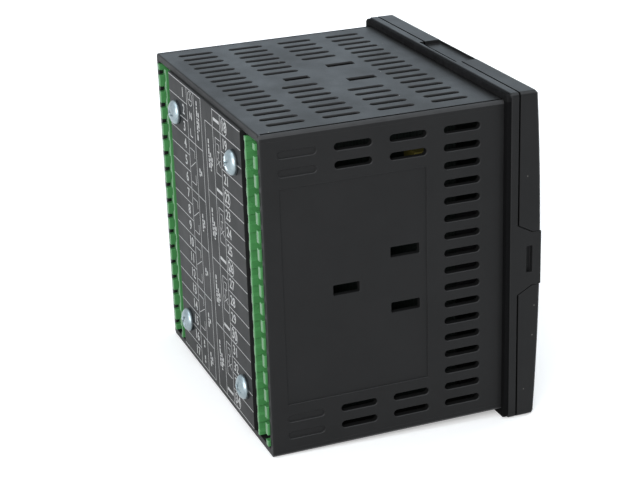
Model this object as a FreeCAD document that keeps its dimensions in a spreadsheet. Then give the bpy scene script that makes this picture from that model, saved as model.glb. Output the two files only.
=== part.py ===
import FreeCAD, Part
import math
import os
import re

import Sketcher

# Panel-mount temperature controller of the 96 x 96 mm size, in millimetres.
# Origin: centre of the panel seat. +X is right seen from the front, +Y runs into the panel, +Z is up.
SIZES = {
    # Outline set by the panel standard
    "bezel_size": 96.0,
    "cutout_size": 92.0,
    "case_play": 0.3,
    # Moulded case
    "case_rear": 70.0,
    "case_wall": 2.0,
    "case_radius": 0.8,
    "case_chamfer": 0.4,
    # Vent slots, in four columns along the depth
    "slot_length": 10.6,
    "slot_width": 2.1,
    "slot_corner": 0.62,
    "column_first": 13.3,
    "column_pitch": 15.6,
    "side_slots": 17,
    "side_pitch": 5.0,
    "side_pair": 2,
    "blind_depth": 0.45,
    "top_slots": 16,
    "top_pitch": 5.08,
    "top_seven": 7,
    "top_five": 5,
    # Rectangular holes that take the panel clamps
    "clamp_width": 2.9,
    "clamp_long": 8.4,
    "clamp_short": 7.5,
    "clamp_offset": 8.05,
    "side_clamp_pair": 25.9,
    "side_clamp_single": 43.5,
    "top_clamp_pair": 21.9,
    "top_clamp_single": 38.8,
    # Shallow recess for a label on each side
    "label_front": 23.75,
    "label_rear": 65.3,
    "label_height": 61.6,
    "label_depth": 0.35,
    # Rear partition, terminal plan plate and its screws
    "partition_width": 64.8,
    "partition_thickness": 2.0,
    "plate_width": 64.0,
    "plate_height": 87.4,
    "plate_thickness": 1.8,
    "plate_proud": 0.6,
    "plate_hole": 4.3,
    "screw_across": 51.0,
    "screw_upright": 66.0,
    "head_diameter": 7.5,
    "head_height": 2.4,
    "head_chamfer": 1.3,
    "shank_diameter": 3.2,
    "shank_length": 9.0,
    "recess_arm": 4.0,
    "recess_slot": 1.0,
    "recess_deep": 1.4,
    "post_size": 7.0,
    "post_length": 7.5,
    "pilot_play": 0.05,
    # Shrouded terminal headers and their pins
    "poles": 17,
    "pole_pitch": 5.08,
    "header_width": 8.4,
    "header_gap": 0.35,
    "header_proud": 0.9,
    "header_length": 12.0,
    "header_wall": 1.2,
    "header_floor": 2.5,
    "tooth_notch": 1.9,
    "tooth_height": 1.6,
    "pin_size": 1.0,
    "pin_below_rim": 4.8,
    "pin_bend_gap": 1.2,
    # Upright boards and their guides
    "board_thickness": 1.6,
    "board_rear": 62.0,
    "board_gap": 0.35,
    "guide_width": 1.2,
    "guide_height": 1.5,
    "guide_length": 4.0,
    "guide_play": 0.1,
    "guide_pairs": 2,
    # Front frame
    "flange_thickness": 2.4,
    "flange_chamfer": 0.4,
    "case_seat": 0.6,
    "seat_play": 0.15,
    "collar_end": 7.0,
    "opening_size": 84.0,
    "ledge_size": 80.8,
    "ledge_front": 1.4,
    "ledge_thickness": 2.0,
    "tab_root": 20.6,
    "tab_neck": 15.6,
    "tab_slant": 4.6,
    "tab_thickness": 2.6,
    "tab_play": 0.22,
    "latch_slot_length": 7.8,
    "latch_slot_width": 1.9,
    "latch_slot_front": 7.1,
    "latch_slot_deep": 1.5,
    # Front cover
    "bezel_front": 9.7,
    "crown": 1.5,
    "cover_wall": 2.6,
    "cover_inside": 7.0,
    "corner_radius": 1.1,
    "front_chamfer": 0.6,
    "seam_gap": 0.5,
    "seam_deep": 1.0,
    "grip_width": 24.6,
    "grip_deep": 1.05,
    "grip_front": 7.8,
    "grip_rear": 1.0,
    "skirt_play": 0.2,
    "skirt_thickness": 1.5,
    # Display
    "window_width": 78.0,
    "window_height": 52.0,
    "window_rise": 12.0,
    "window_inside": 7.9,
    "window_ledge": 1.6,
    "window_play": 0.1,
    "display_width": 75.0,
    "display_height": 49.5,
    "display_gap": 0.2,
    "glass_thickness": 1.5,
    "display_play": 0.3,
    # Keys and the switches under them
    "keys": 4,
    "key_pitch": 19.0,
    "key_drop": 29.0,
    "key_width": 14.0,
    "key_height": 8.0,
    "key_chamfer": 1.0,
    "key_front": 10.1,
    "key_play": 0.2,
    "key_flange": 1.5,
    "key_flange_thickness": 1.0,
    "key_stem": 4.0,
    "switch_size": 6.0,
    "switch_height": 3.5,
    "plunger_size": 2.6,
    "plunger_height": 5.0,
    "plunger_sunk": 0.8,
    "plunger_bore": 1.4,
    "plunger_play": 0.15,
    # Board connectors
    "socket_height": 8.5,
    "socket_width": 2.5,
    "socket_length": 25.4,
    "plug_height": 2.5,
    # Parts on the output board
    "relay_pitch": 20.4,
    "relay_across": 19.0,
    "relay_depth": 15.5,
    "relay_height": 15.5,
    "relay_front": 39.0,
    "snubber_front": 19.5,
    "snubber_thickness": 6.0,
    "snubber_length": 9.0,
    "snubber_height": 7.0,
    "snubber_inner": 19.7,
    "snubber_outer": 29.2,
    # Parts on the input board
    "core_front": 21.0,
    "core_thickness": 11.0,
    "core_across": 25.0,
    "core_height": 21.0,
    "core_limb": 3.6,
    "core_rise": 20.0,
    "winding_over": 3.5,
    "winding_play": 0.1,
    "can_diameter": 12.5,
    "can_height": 20.0,
    "can_depth": 20.0,
    "can_drop": 8.0,
    "chip_across": 10.0,
    "chip_depth": 7.5,
    "chip_height": 2.3,
    "chip_front": 36.0,
    "chip_pitch": 15.0,
    "chip_lowest": 34.0,
    "display_chip_size": 14.0,
    "display_chip_height": 1.6,
}

# Expressions that several pieces share
CASE_HALF = "(cutout_size - case_play) / 2"
INNER_HALF = f"({CASE_HALF} - case_wall)"
SLOT_ROW = f"({CASE_HALF} + case_wall) * 2"
PLATE_FACE = "(case_rear + plate_proud)"
PARTITION_REAR = f"({PLATE_FACE} - plate_thickness)"
PARTITION_FRONT = f"({PARTITION_REAR} - partition_thickness)"
HEADER_OUT = f"({INNER_HALF} - header_gap)"
HEADER_IN = f"({HEADER_OUT} - header_width)"
HEADER_RIM = "(case_rear + header_proud)"
HEADER_BACK = f"({HEADER_RIM} - header_length)"
PIN_MID = f"({HEADER_OUT} - header_width / 2)"
FIRST_POLE = "(-(poles - 1) * pole_pitch / 2)"
BOARD_OUT = HEADER_IN
BOARD_IN = f"({HEADER_IN} - board_thickness)"
BOARD_HALF = f"({INNER_HALF} - board_gap)"
PANEL_BOARD_FRONT = "(ledge_front - board_thickness)"
BOARD_FRONT = "(ledge_front + socket_height)"
CROWN_RADIUS = "((bezel_size / 2)^2 + crown^2) / (2 * crown)"
COVER_REAR = "-flange_thickness"

WORD = re.compile(r"[a-z_]+")
NORMAL_SIGN = {"XY_Plane": 1, "XZ_Plane": -1, "YZ_Plane": 1}

doc = FreeCAD.newDocument("temperature_controller")
sheet = doc.addObject("Spreadsheet::Sheet", "sizes")
for row, (alias, value) in enumerate(SIZES.items(), start=1):
    sheet.set(f"A{row}", alias)
    sheet.set(f"B{row}", str(value))
    sheet.setAlias(f"B{row}", alias)
doc.recompute()
nodes = []


def bind(thing, path, text):
    """Tie a property to an expression written with the sheet's aliases."""
    thing.setExpression(path, WORD.sub(lambda word: "sizes." + word.group(), text))


def number(text):
    """Present value of such an expression, used to draw a sketch's first geometry."""
    plain = WORD.sub(lambda word: f"({SIZES[word.group()]})", text)
    return FreeCAD.Units.Quantity(plain).Value


def new_body(label):
    body = doc.addObject("PartDesign::Body", label)
    body.Label = label
    nodes.append(body)
    return body


def new_sketch(body, plane, at="0"):
    """Sketch on one of the body's origin planes, moved to a place along that plane's global axis."""
    sketch = body.newObject("Sketcher::SketchObject", body.Label + "_sketch")
    support = next(item for item in body.Origin.OriginFeatures if item.Role == plane)
    sketch.AttachmentSupport = (support, "")
    sketch.MapMode = "FlatFace"
    sign = "-" if NORMAL_SIGN[plane] < 0 else ""
    bind(sketch, "AttachmentOffset.Base.z", f"{sign}({at})")
    return sketch


def pin_point(sketch, edge, end, place):
    """Fix one end of an edge to the coordinates given; None leaves a coordinate free."""
    for kind, text in zip(("DistanceX", "DistanceY"), place):
        if text is not None:
            index = sketch.addConstraint(Sketcher.Constraint(kind, -1, 1, edge, end, number(text)))
            bind(sketch, f"Constraints[{index}]", text)


def outline(sketch, points):
    """Closed outline of straight edges through points given as pairs of expressions."""
    first = sketch.GeometryCount
    spots = [FreeCAD.Vector(number(x), number(y), 0) for x, y in points]
    count = len(points)
    for index in range(count):
        sketch.addGeometry(Part.LineSegment(spots[index], spots[(index + 1) % count]), False)
    for index in range(count):
        following = first + (index + 1) % count
        sketch.addConstraint(Sketcher.Constraint("Coincident", first + index, 2, following, 1))
        pin_point(sketch, first + index, 1, points[index])


def box_points(left, right, low, high):
    return [(left, low), (right, low), (right, high), (left, high)]


def square_points(half):
    return box_points(f"-({half})", half, f"-({half})", half)


def slot_points(along, across, upright):
    """Vent slot with clipped ends, long way along the case; upright tells which sketch axis that is."""
    end = "slot_length / 2"
    side = "slot_width / 2"
    corners = [
        (f"-{end}", f"-{side} + slot_corner"),
        (f"-{end} + slot_corner", f"-{side}"),
        (f"{end} - slot_corner", f"-{side}"),
        (end, f"-{side} + slot_corner"),
        (end, f"{side} - slot_corner"),
        (f"{end} - slot_corner", side),
        (f"-{end} + slot_corner", side),
        (f"-{end}", f"{side} - slot_corner"),
    ]
    placed = [(f"{along} + ({u})", f"{across} + ({v})") for u, v in corners]
    return [(v, u) for u, v in placed] if upright else placed


def bowed_outline(sketch, rear, low, high):
    """Side view of the front: straight rear edge, bowed front edge that follows the crown."""
    radius = number(CROWN_RADIUS)
    middle = FreeCAD.Vector(radius - number("bezel_front"), 0, 0)
    tops = [number(high), number(low)]
    turns = [math.pi - math.asin(tops[0] / radius), math.pi - math.asin(tops[1] / radius)]
    bow = Part.ArcOfCircle(Part.Circle(middle, FreeCAD.Vector(0, 0, 1), radius), turns[0], turns[1])
    back = number(rear)
    rear_low = FreeCAD.Vector(back, tops[1], 0)
    rear_high = FreeCAD.Vector(back, tops[0], 0)
    sketch.addGeometry(Part.LineSegment(rear_low, rear_high), False)
    sketch.addGeometry(Part.LineSegment(rear_high, bow.StartPoint), False)
    sketch.addGeometry(bow, False)
    sketch.addGeometry(Part.LineSegment(bow.EndPoint, rear_low), False)
    for edge in range(4):
        sketch.addConstraint(Sketcher.Constraint("Coincident", edge, 2, (edge + 1) % 4, 1))
    pin_point(sketch, 0, 1, (rear, low))
    pin_point(sketch, 0, 2, (rear, high))
    pin_point(sketch, 2, 1, (None, high))
    pin_point(sketch, 2, 2, (None, low))
    pin_point(sketch, 2, 3, (f"{CROWN_RADIUS} - bezel_front", "0"))
    index = sketch.addConstraint(Sketcher.Constraint("Radius", 2, radius))
    bind(sketch, f"Constraints[{index}]", CROWN_RADIUS)


def round_points(across, upright, diameter):
    """Small round drawn as twelve flats, for the fasteners and holes that repeat."""
    turns = [math.tau * (step + 0.5) / 12 for step in range(12)]
    return [
        (
            f"{across} + {diameter} / 2 * ({math.cos(turn):.5f})",
            f"{upright} + {diameter} / 2 * ({math.sin(turn):.5f})",
        )
        for turn in turns
    ]


def sweep(body, sketch, kind, length, toward):
    """Pad or Pocket of a sketch; toward is +1 or -1 along the global axis, or 0 for both ways alike."""
    feature = body.newObject("PartDesign::" + kind, f"{body.Label}_{kind.lower()}")
    feature.Profile = sketch
    bind(feature, "Length", length)
    plane = sketch.AttachmentSupport[0][0].Role
    natural = NORMAL_SIGN[plane] * (1 if kind == "Pad" else -1)
    if toward == 0:
        feature.SideType = "Symmetric"
    else:
        feature.Reversed = toward != natural
    sketch.Visibility = False
    doc.recompute()
    return feature


def pad(body, sketch, length, toward):
    return sweep(body, sketch, "Pad", length, toward)


def pocket(body, sketch, length, toward):
    return sweep(body, sketch, "Pocket", length, toward)


def repeat(body, features, sketch, axis, count, pitch):
    """Linear pattern of features along one of a sketch's axes."""
    pattern = body.newObject("PartDesign::LinearPattern", body.Label + "_pattern")
    pattern.Originals = features
    pattern.Direction = (sketch, [axis])
    pattern.Mode = "Spacing"
    bind(pattern, "Occurrences", count)
    bind(pattern, "Offset", pitch)
    body.Tip = pattern
    doc.recompute()
    return pattern


def soften(body, kind, feature, size, chosen):
    """Fillet or Chamfer on the edges of a feature that pass the test given."""
    names = []
    for index, edge in enumerate(feature.Shape.Edges, start=1):
        middle = edge.valueAt((edge.FirstParameter + edge.LastParameter) / 2)
        if chosen(middle, edge):
            names.append(f"Edge{index}")
    softened = body.newObject("PartDesign::" + kind, f"{body.Label}_{kind.lower()}")
    softened.Base = (feature, names)
    bind(softened, "Radius" if kind == "Fillet" else "Size", size)
    doc.recompute()
    return softened


def runs_along(edge, axis):
    """True for a straight edge parallel to the axis."""
    if edge.Curve.TypeId != "Part::GeomLine":
        return False
    return abs(edge.Curve.Direction.dot(axis)) > 0.999


def block(label, x, y, z):
    """Plain box between pairs of expressions."""
    solid = doc.addObject("Part::Box", label)
    solid.Label = label
    for size, axis, (low, high) in zip(("Length", "Width", "Height"), "xyz", (x, y, z)):
        bind(solid, size, f"({high}) - ({low})")
        bind(solid, f"Placement.Base.{axis}", low)
    nodes.append(solid)
    return solid


def mirrored_pair(low, high, side):
    """Low and high ends of a span that lies at +side, for the side given as +1 or -1."""
    return (low, high) if side > 0 else (f"-({high})", f"-({low})")


AXIS_Y = FreeCAD.Vector(0, 1, 0)
SIDES = ((1, "right"), (-1, "left"))


# Case: a moulded sleeve, open at both ends, with slots through all four walls
def cut_slots(body, plane, seeds, axis, count, pitch):
    """Slots through both opposite walls, from seed places, repeated along a sketch axis."""
    sketch = new_sketch(body, plane)
    for along, across in seeds:
        outline(sketch, slot_points(along, across, plane == "XY_Plane"))
    seed = pocket(body, sketch, SLOT_ROW, 0)
    repeat(body, [seed], sketch, axis, count, pitch)


def column(index):
    return f"column_first + {index} * column_pitch"


def along_depth(middle, edge):
    return runs_along(edge, AXIS_Y)


case = new_body("case")
sketch = new_sketch(case, "XZ_Plane", "-case_seat")
outline(sketch, square_points(CASE_HALF))
sleeve = pad(case, sketch, "case_rear + case_seat", 1)
sleeve = soften(case, "Fillet", sleeve, "case_radius", along_depth)
rear_level = number("case_rear")
soften(case, "Chamfer", sleeve, "case_chamfer", lambda middle, edge: middle.y > rear_level - 0.01)
sketch = new_sketch(case, "XZ_Plane", "-case_seat")
outline(sketch, square_points(INNER_HALF))
pocket(case, sketch, "case_rear + 2 * case_seat", 1)

clamp_half = "clamp_width / 2"
for plane, name in (("YZ_Plane", "side"), ("XY_Plane", "top")):
    sketch = new_sketch(case, plane)
    for offset, kind, length in (
        ("clamp_offset", "pair", "clamp_long"),
        ("-clamp_offset", "pair", "clamp_long"),
        ("0", "single", "clamp_short"),
    ):
        front = f"{name}_clamp_{kind}"
        width = (f"{offset} - {clamp_half}", f"{offset} + {clamp_half}")
        hole = box_points(front, f"{front} + {length}", *width)
        outline(sketch, hole if plane == "YZ_Plane" else [(across, along) for along, across in hole])
    pocket(case, sketch, SLOT_ROW, 0)

side_start = "-(side_slots - 1) * side_pitch / 2"
side_upper = f"{side_start} + (side_slots - side_pair) * side_pitch"
for side, _ in SIDES:
    wall = CASE_HALF if side > 0 else f"-{CASE_HALF}"
    sketch = new_sketch(case, "YZ_Plane", wall)
    outline(sketch, box_points("label_front", "label_rear", "-label_height / 2", "label_height / 2"))
    pocket(case, sketch, "label_depth", -side)
    sketch = new_sketch(case, "YZ_Plane", wall)
    for start in (side_start, side_upper):
        outline(sketch, slot_points(column(3), start, False))
    blind = pocket(case, sketch, "blind_depth", -side)
    repeat(case, [blind], sketch, "V_Axis", "side_pair", "side_pitch")

# Partition across the rear, pierced for the four screws
screw_spots = [
    (f"{across} * screw_across / 2", f"{upright} * screw_upright / 2")
    for across in ("1", "-1")
    for upright in ("1", "-1")
]
pilot = "(shank_diameter + 2 * pilot_play)"
sketch = new_sketch(case, "XZ_Plane", PARTITION_FRONT)
half = "partition_width / 2"
outline(sketch, box_points(f"-{half}", half, f"-{INNER_HALF}", INNER_HALF))
for across, upright in screw_spots:
    outline(sketch, round_points(across, upright, pilot))
pad(case, sketch, "partition_thickness", 1)

# Short guides on the floor and roof, between the slot columns, that hold the upright boards
sketch = new_sketch(case, "XZ_Plane", f"{column(0)} + (column_pitch - guide_length) / 2")
for side, _ in SIDES:
    for low, high in (
        (f"{BOARD_IN} - guide_play - guide_width", f"{BOARD_IN} - guide_play"),
        (f"{BOARD_OUT} + guide_play", f"{BOARD_OUT} + guide_play + guide_width"),
    ):
        span = mirrored_pair(low, high, side)
        outline(sketch, box_points(*span, f"{INNER_HALF} - guide_height", INNER_HALF))
        outline(sketch, box_points(*span, f"-{INNER_HALF}", f"-({INNER_HALF} - guide_height)"))
guides = pad(case, sketch, "guide_length", 1)
pattern = repeat(case, [guides], sketch, "N_Axis", "guide_pairs", "2 * column_pitch")
pattern.Reversed = True

# Vent slots: full columns at the front of the sides and at both ends of the top, shorter groups between
top_start = "-(top_slots - 1) * top_pitch / 2"
cut_slots(case, "YZ_Plane", [(column(0), side_start)], "V_Axis", "side_slots", "side_pitch")
pairs = [(column(index), start) for index in (1, 2) for start in (side_start, side_upper)]
cut_slots(case, "YZ_Plane", pairs, "V_Axis", "side_pair", "side_pitch")
full = [(column(0), top_start), (column(3), top_start)]
cut_slots(case, "XY_Plane", full, "H_Axis", "top_slots", "top_pitch")
for index, group in ((2, "top_seven"), (1, "top_five")):
    other = f"{top_start} + (top_slots - {group}) * top_pitch"
    seeds = [(column(index), top_start), (column(index), other)]
    cut_slots(case, "XY_Plane", seeds, "H_Axis", group, "top_pitch")

# Hollow posts behind the partition, one for each screw
sketch = new_sketch(case, "XZ_Plane", PARTITION_FRONT)
post = "post_size / 2"
for across, upright in screw_spots:
    post_x = (f"{across} - {post}", f"{across} + {post}")
    post_z = (f"{upright} - {post}", f"{upright} + {post}")
    outline(sketch, box_points(*post_x, *post_z))
    outline(sketch, round_points(across, upright, pilot))
pad(case, sketch, "post_length", -1)

# Rear plate: a flat moulding that lies on the partition
plate = new_body("rear_plate")
sketch = new_sketch(plate, "XZ_Plane", PARTITION_REAR)
plate_x = ("-plate_width / 2", "plate_width / 2")
plate_z = ("-plate_height / 2", "plate_height / 2")
outline(sketch, box_points(*plate_x, *plate_z))
for across, upright in screw_spots:
    outline(sketch, round_points(across, upright, "plate_hole"))
pad(plate, sketch, "plate_thickness", 1)

# Rear screws: four pan heads with a cross recess, on shanks that reach through the plate into the posts
screws = new_body("rear_screws")
arm = "recess_arm / 2"
slit = "recess_slot / 2"
quarter = [(arm, f"-{slit}"), (arm, slit), (slit, slit)]
turned = [(f"-({z})", x) for x, z in quarter]
half_turn = [(f"-({x})", f"-({z})") for x, z in quarter]
turned_back = [(z, f"-({x})") for x, z in quarter]
cross = quarter + turned + half_turn + turned_back
shank_sketch = new_sketch(screws, "XZ_Plane", f"{PLATE_FACE} - shank_length")
head_sketch = new_sketch(screws, "XZ_Plane", PLATE_FACE)
cross_sketch = new_sketch(screws, "XZ_Plane", f"{PLATE_FACE} + head_height")
for across, upright in screw_spots:
    outline(shank_sketch, round_points(across, upright, "shank_diameter"))
    outline(head_sketch, round_points(across, upright, "head_diameter"))
    outline(cross_sketch, [(f"{across} + ({x})", f"{upright} + ({z})") for x, z in cross])
pad(screws, shank_sketch, "shank_length", 1)
heads = pad(screws, head_sketch, "head_height", 1)
head_level = number(f"{PLATE_FACE} + head_height")
soften(screws, "Chamfer", heads, "head_chamfer", lambda middle, edge: middle.y > head_level - 0.01)
pocket(screws, cross_sketch, "recess_deep", -1)

# Terminal headers, each a green shroud of U section, and the bent pins held in a slit in its floor
for side, name in SIDES:
    def across(text):
        return text if side > 0 else f"-({text})"

    header = new_body("terminal_header_" + name)
    sketch = new_sketch(header, "XY_Plane")
    inner_floor = f"{HEADER_BACK} + header_floor"
    section = [
        (HEADER_IN, HEADER_BACK),
        (HEADER_OUT, HEADER_BACK),
        (HEADER_OUT, HEADER_RIM),
        (f"{HEADER_OUT} - header_wall", HEADER_RIM),
        (f"{HEADER_OUT} - header_wall", inner_floor),
        (f"{HEADER_IN} + header_wall", inner_floor),
        (f"{HEADER_IN} + header_wall", HEADER_RIM),
        (HEADER_IN, HEADER_RIM),
    ]
    outline(sketch, [(across(x), y) for x, y in section])
    pad(header, sketch, "poles * pole_pitch", 0)
    notch_sketch = new_sketch(header, "XZ_Plane", HEADER_RIM)
    span = mirrored_pair(f"{HEADER_OUT} - header_wall", HEADER_OUT, side)
    gap = (f"{FIRST_POLE} - tooth_notch / 2", f"{FIRST_POLE} + tooth_notch / 2")
    outline(notch_sketch, box_points(*span, *gap))
    notch = pocket(header, notch_sketch, "tooth_height", -1)
    repeat(header, [notch], notch_sketch, "V_Axis", "poles", "pole_pitch")
    sketch = new_sketch(header, "XZ_Plane", HEADER_RIM)
    span = mirrored_pair(f"{PIN_MID} - pin_size / 2", f"{PIN_MID} + pin_size / 2", side)
    pin_row = f"(-{FIRST_POLE} + pin_size / 2)"
    outline(sketch, box_points(*span, f"-{pin_row}", pin_row))
    pocket(header, sketch, "header_length", -1)

    pins = new_body("header_pins_" + name)
    sketch = new_sketch(pins, "XY_Plane", FIRST_POLE)
    bend = f"{HEADER_BACK} - pin_bend_gap"
    bent = [
        (f"{PIN_MID} + pin_size / 2", f"{HEADER_RIM} - pin_below_rim"),
        (f"{PIN_MID} - pin_size / 2", f"{HEADER_RIM} - pin_below_rim"),
        (f"{PIN_MID} - pin_size / 2", bend),
        (BOARD_OUT, bend),
        (BOARD_OUT, f"{bend} - pin_size"),
        (f"{PIN_MID} + pin_size / 2", f"{bend} - pin_size"),
    ]
    outline(sketch, [(across(x), y) for x, y in bent])
    pin = pad(pins, sketch, "pin_size", 0)
    repeat(pins, [pin], sketch, "N_Axis", "poles", "pole_pitch")

    span = mirrored_pair(BOARD_IN, BOARD_OUT, side)
    label = "input_board" if side > 0 else "output_board"
    block(label, span, (BOARD_FRONT, "board_rear"), (f"-{BOARD_HALF}", BOARD_HALF))

# Front frame: flange against the panel, collar inside the case, tabs to the front at both sides
frame = new_body("front_frame")
sketch = new_sketch(frame, "XZ_Plane", COVER_REAR)
outline(sketch, square_points("bezel_size / 2"))
flange = pad(frame, sketch, "flange_thickness", 1)
flange = soften(frame, "Fillet", flange, "corner_radius", along_depth)
soften(frame, "Chamfer", flange, "flange_chamfer", lambda middle, edge: middle.y > -0.01)
collar_half = f"({INNER_HALF} - seat_play)"
sketch = new_sketch(frame, "XZ_Plane", COVER_REAR)
outline(sketch, square_points(collar_half))
pad(frame, sketch, "flange_thickness + collar_end", 1)
sketch = new_sketch(frame, "XZ_Plane")
outline(sketch, square_points(f"{CASE_HALF} + seat_play"))
outline(sketch, square_points(collar_half))
pocket(frame, sketch, "case_seat", -1)
sketch = new_sketch(frame, "XZ_Plane", COVER_REAR)
outline(sketch, square_points("opening_size / 2"))
pocket(frame, sketch, "flange_thickness + ledge_front", 1)
sketch = new_sketch(frame, "XZ_Plane", COVER_REAR)
outline(sketch, square_points("ledge_size / 2"))
pocket(frame, sketch, "flange_thickness + collar_end", 1)
sketch = new_sketch(frame, "XZ_Plane", "collar_end")
outline(sketch, square_points("opening_size / 2"))
pocket(frame, sketch, "collar_end - ledge_front - ledge_thickness", -1)


def tab_points(front, play):
    """Side view of a tab that tapers from its root on the flange to a neck, then runs to the front."""
    root = f"(tab_root / 2 + {play})"
    neck = f"(tab_neck / 2 + {play})"
    slant = "-(flange_thickness + tab_slant)"
    upper = [(COVER_REAR, root), (slant, neck), (front, neck)]
    return upper + [(y, f"-{z}") for y, z in reversed(upper)]


def grip_points(front, rear):
    return box_points("-grip_width / 2", "grip_width / 2", f"-({front})", f"-({rear})")


for side, _ in SIDES:
    wall = f"{side} * bezel_size / 2"
    sketch = new_sketch(frame, "YZ_Plane", wall)
    outline(sketch, tab_points("-bezel_front", "0"))
    pad(frame, sketch, "tab_thickness", -side)
    sketch = new_sketch(frame, "YZ_Plane", wall)
    slot_rear = "-(latch_slot_front - latch_slot_width)"
    latch = box_points("-latch_slot_front", slot_rear, "-latch_slot_length / 2", "latch_slot_length / 2")
    outline(sketch, latch)
    pocket(frame, sketch, "latch_slot_deep", -side)
    sketch = new_sketch(frame, "XY_Plane", wall)
    outline(sketch, grip_points("flange_thickness", "grip_rear"))
    pocket(frame, sketch, "grip_deep", -side)

# Front cover: moulded fascia with a bowed front
cover = new_body("front_cover")
sketch = new_sketch(cover, "YZ_Plane")
bowed_outline(sketch, COVER_REAR, "-bezel_size / 2", "bezel_size / 2")
bowed = pad(cover, sketch, "bezel_size", 0)
corners = soften(cover, "Fillet", bowed, "corner_radius", along_depth)
front_level = number("-(bezel_front - crown) + corner_radius / 4")
soften(
    cover,
    "Chamfer",
    corners,
    "front_chamfer",
    lambda middle, edge: middle.y < front_level and not runs_along(edge, AXIS_Y),
)
sketch = new_sketch(cover, "XZ_Plane", COVER_REAR)
outline(sketch, square_points("bezel_size / 2 - cover_wall"))
pocket(cover, sketch, "cover_inside - flange_thickness", -1)
sketch = new_sketch(cover, "XZ_Plane", COVER_REAR)
outline(sketch, square_points("bezel_size / 2 + seam_deep"))
outline(sketch, square_points("bezel_size / 2 - seam_deep"))
pocket(cover, sketch, "seam_gap", -1)
for side, _ in SIDES:
    sketch = new_sketch(cover, "YZ_Plane", f"{side} * bezel_size / 2")
    outline(sketch, tab_points("-2 * bezel_front", "tab_play"))
    pocket(cover, sketch, "tab_thickness + tab_play", -side)
    sketch = new_sketch(cover, "XY_Plane", f"{side} * bezel_size / 2")
    outline(sketch, grip_points("grip_front", "flange_thickness"))
    pocket(cover, sketch, "grip_deep", -side)

window_low = "window_rise - window_height / 2"
window_high = "window_rise + window_height / 2"
for inset, start in (("-window_play", "window_inside"), ("window_ledge", "cover_inside")):
    sketch = new_sketch(cover, "XZ_Plane", f"-({start})")
    reach = f"(window_width / 2 - ({inset}))"
    span = box_points(f"-{reach}", reach, f"{window_low} + ({inset})", f"{window_high} - ({inset})")
    outline(sketch, span)
    pocket(cover, sketch, "bezel_front", -1)

key_first = "(-(keys - 1) * key_pitch / 2)"
hole_across = "(key_width / 2 + key_play)"
hole_upright = "(key_height / 2 + key_play)"
sketch = new_sketch(cover, "XZ_Plane", "-cover_inside")
span = box_points(
    f"{key_first} - {hole_across}",
    f"{key_first} + {hole_across}",
    f"-key_drop - {hole_upright}",
    f"-key_drop + {hole_upright}",
)
outline(sketch, span)
hole = pocket(cover, sketch, "bezel_front", -1)
repeat(cover, [hole], sketch, "H_Axis", "keys", "key_pitch")
sketch = new_sketch(cover, "XZ_Plane", "-cover_inside")
skirt_half = "(opening_size / 2 - skirt_play)"
outline(sketch, square_points(skirt_half))
outline(sketch, square_points(f"{skirt_half} - skirt_thickness"))
pad(cover, sketch, f"cover_inside + {PANEL_BOARD_FRONT}", 1)

# Display window: smoked pane let into the cover, flush with the bowed front
window = new_body("display_window")
sketch = new_sketch(window, "YZ_Plane")
bowed_outline(sketch, "-window_inside", window_low, window_high)
pad(window, sketch, "window_width", 0)

# Display board behind the cover's skirt, with the display on its front
board_half = "(opening_size / 2 - display_play)"
board_span = (f"-{board_half}", board_half)
block("display_board", board_span, (PANEL_BOARD_FRONT, "ledge_front"), board_span)
display_x = ("-display_width / 2", "display_width / 2")
display_z = ("window_rise - display_height / 2", "window_rise + display_height / 2")
glass_front = "-(cover_inside - display_gap)"
glass_rear = f"{glass_front} + glass_thickness"
block("display_glass", display_x, (glass_front, glass_rear), display_z)
block("display_backlight", display_x, (glass_rear, PANEL_BOARD_FRONT), display_z)
chip_half = "display_chip_size / 2"
chip_span = (f"-{chip_half}", chip_half)
block("display_chip", chip_span, ("ledge_front", "ledge_front + display_chip_height"), chip_span)

# Keys: caps with a flange behind the cover, each over a plunger in a switch on the display board
key_z = ("-key_drop - key_height / 2", "-key_drop + key_height / 2")
flange_rear = "-(cover_inside - key_flange_thickness)"
switch_top = f"{PANEL_BOARD_FRONT} - switch_height"
plunger_top = f"{PANEL_BOARD_FRONT} - plunger_height"


def key_square(middle, half):
    """Square behind a key, centred on it."""
    across = (f"{middle} - {half}", f"{middle} + {half}")
    upright = (f"-key_drop - {half}", f"-key_drop + {half}")
    return box_points(*across, *upright)


for index in range(SIZES["keys"]):
    middle = f"({key_first} + {index} * key_pitch)"
    key = new_body(f"key_{index + 1}")
    sketch = new_sketch(key, "XZ_Plane", "-cover_inside")
    cap_x = (f"{middle} - key_width / 2", f"{middle} + key_width / 2")
    outline(sketch, box_points(*cap_x, *key_z))
    cap = pad(key, sketch, "key_front - cover_inside", -1)
    soften(key, "Chamfer", cap, "key_chamfer", along_depth)
    sketch = new_sketch(key, "XZ_Plane", "-cover_inside")
    wide = (f"{cap_x[0]} - key_flange", f"{cap_x[1]} + key_flange")
    tall = (f"{key_z[0]} - key_flange", f"{key_z[1]} + key_flange")
    outline(sketch, box_points(*wide, *tall))
    pad(key, sketch, "key_flange_thickness", 1)
    sketch = new_sketch(key, "XZ_Plane", flange_rear)
    outline(sketch, key_square(middle, "key_stem / 2"))
    pad(key, sketch, f"{plunger_top} - ({flange_rear})", 1)

    plunger = new_body(f"key_plunger_{index + 1}")
    sketch = new_sketch(plunger, "XZ_Plane", plunger_top)
    outline(sketch, key_square(middle, "plunger_size / 2"))
    pad(plunger, sketch, "plunger_height - switch_height + plunger_sunk", 1)

    switch = new_body(f"key_switch_{index + 1}")
    sketch = new_sketch(switch, "XZ_Plane", PANEL_BOARD_FRONT)
    outline(sketch, key_square(middle, "switch_size / 2"))
    pad(switch, sketch, "switch_height", -1)
    sketch = new_sketch(switch, "XZ_Plane", switch_top)
    outline(sketch, key_square(middle, "(plunger_size / 2 + plunger_play)"))
    pocket(switch, sketch, "plunger_bore", 1)

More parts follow.
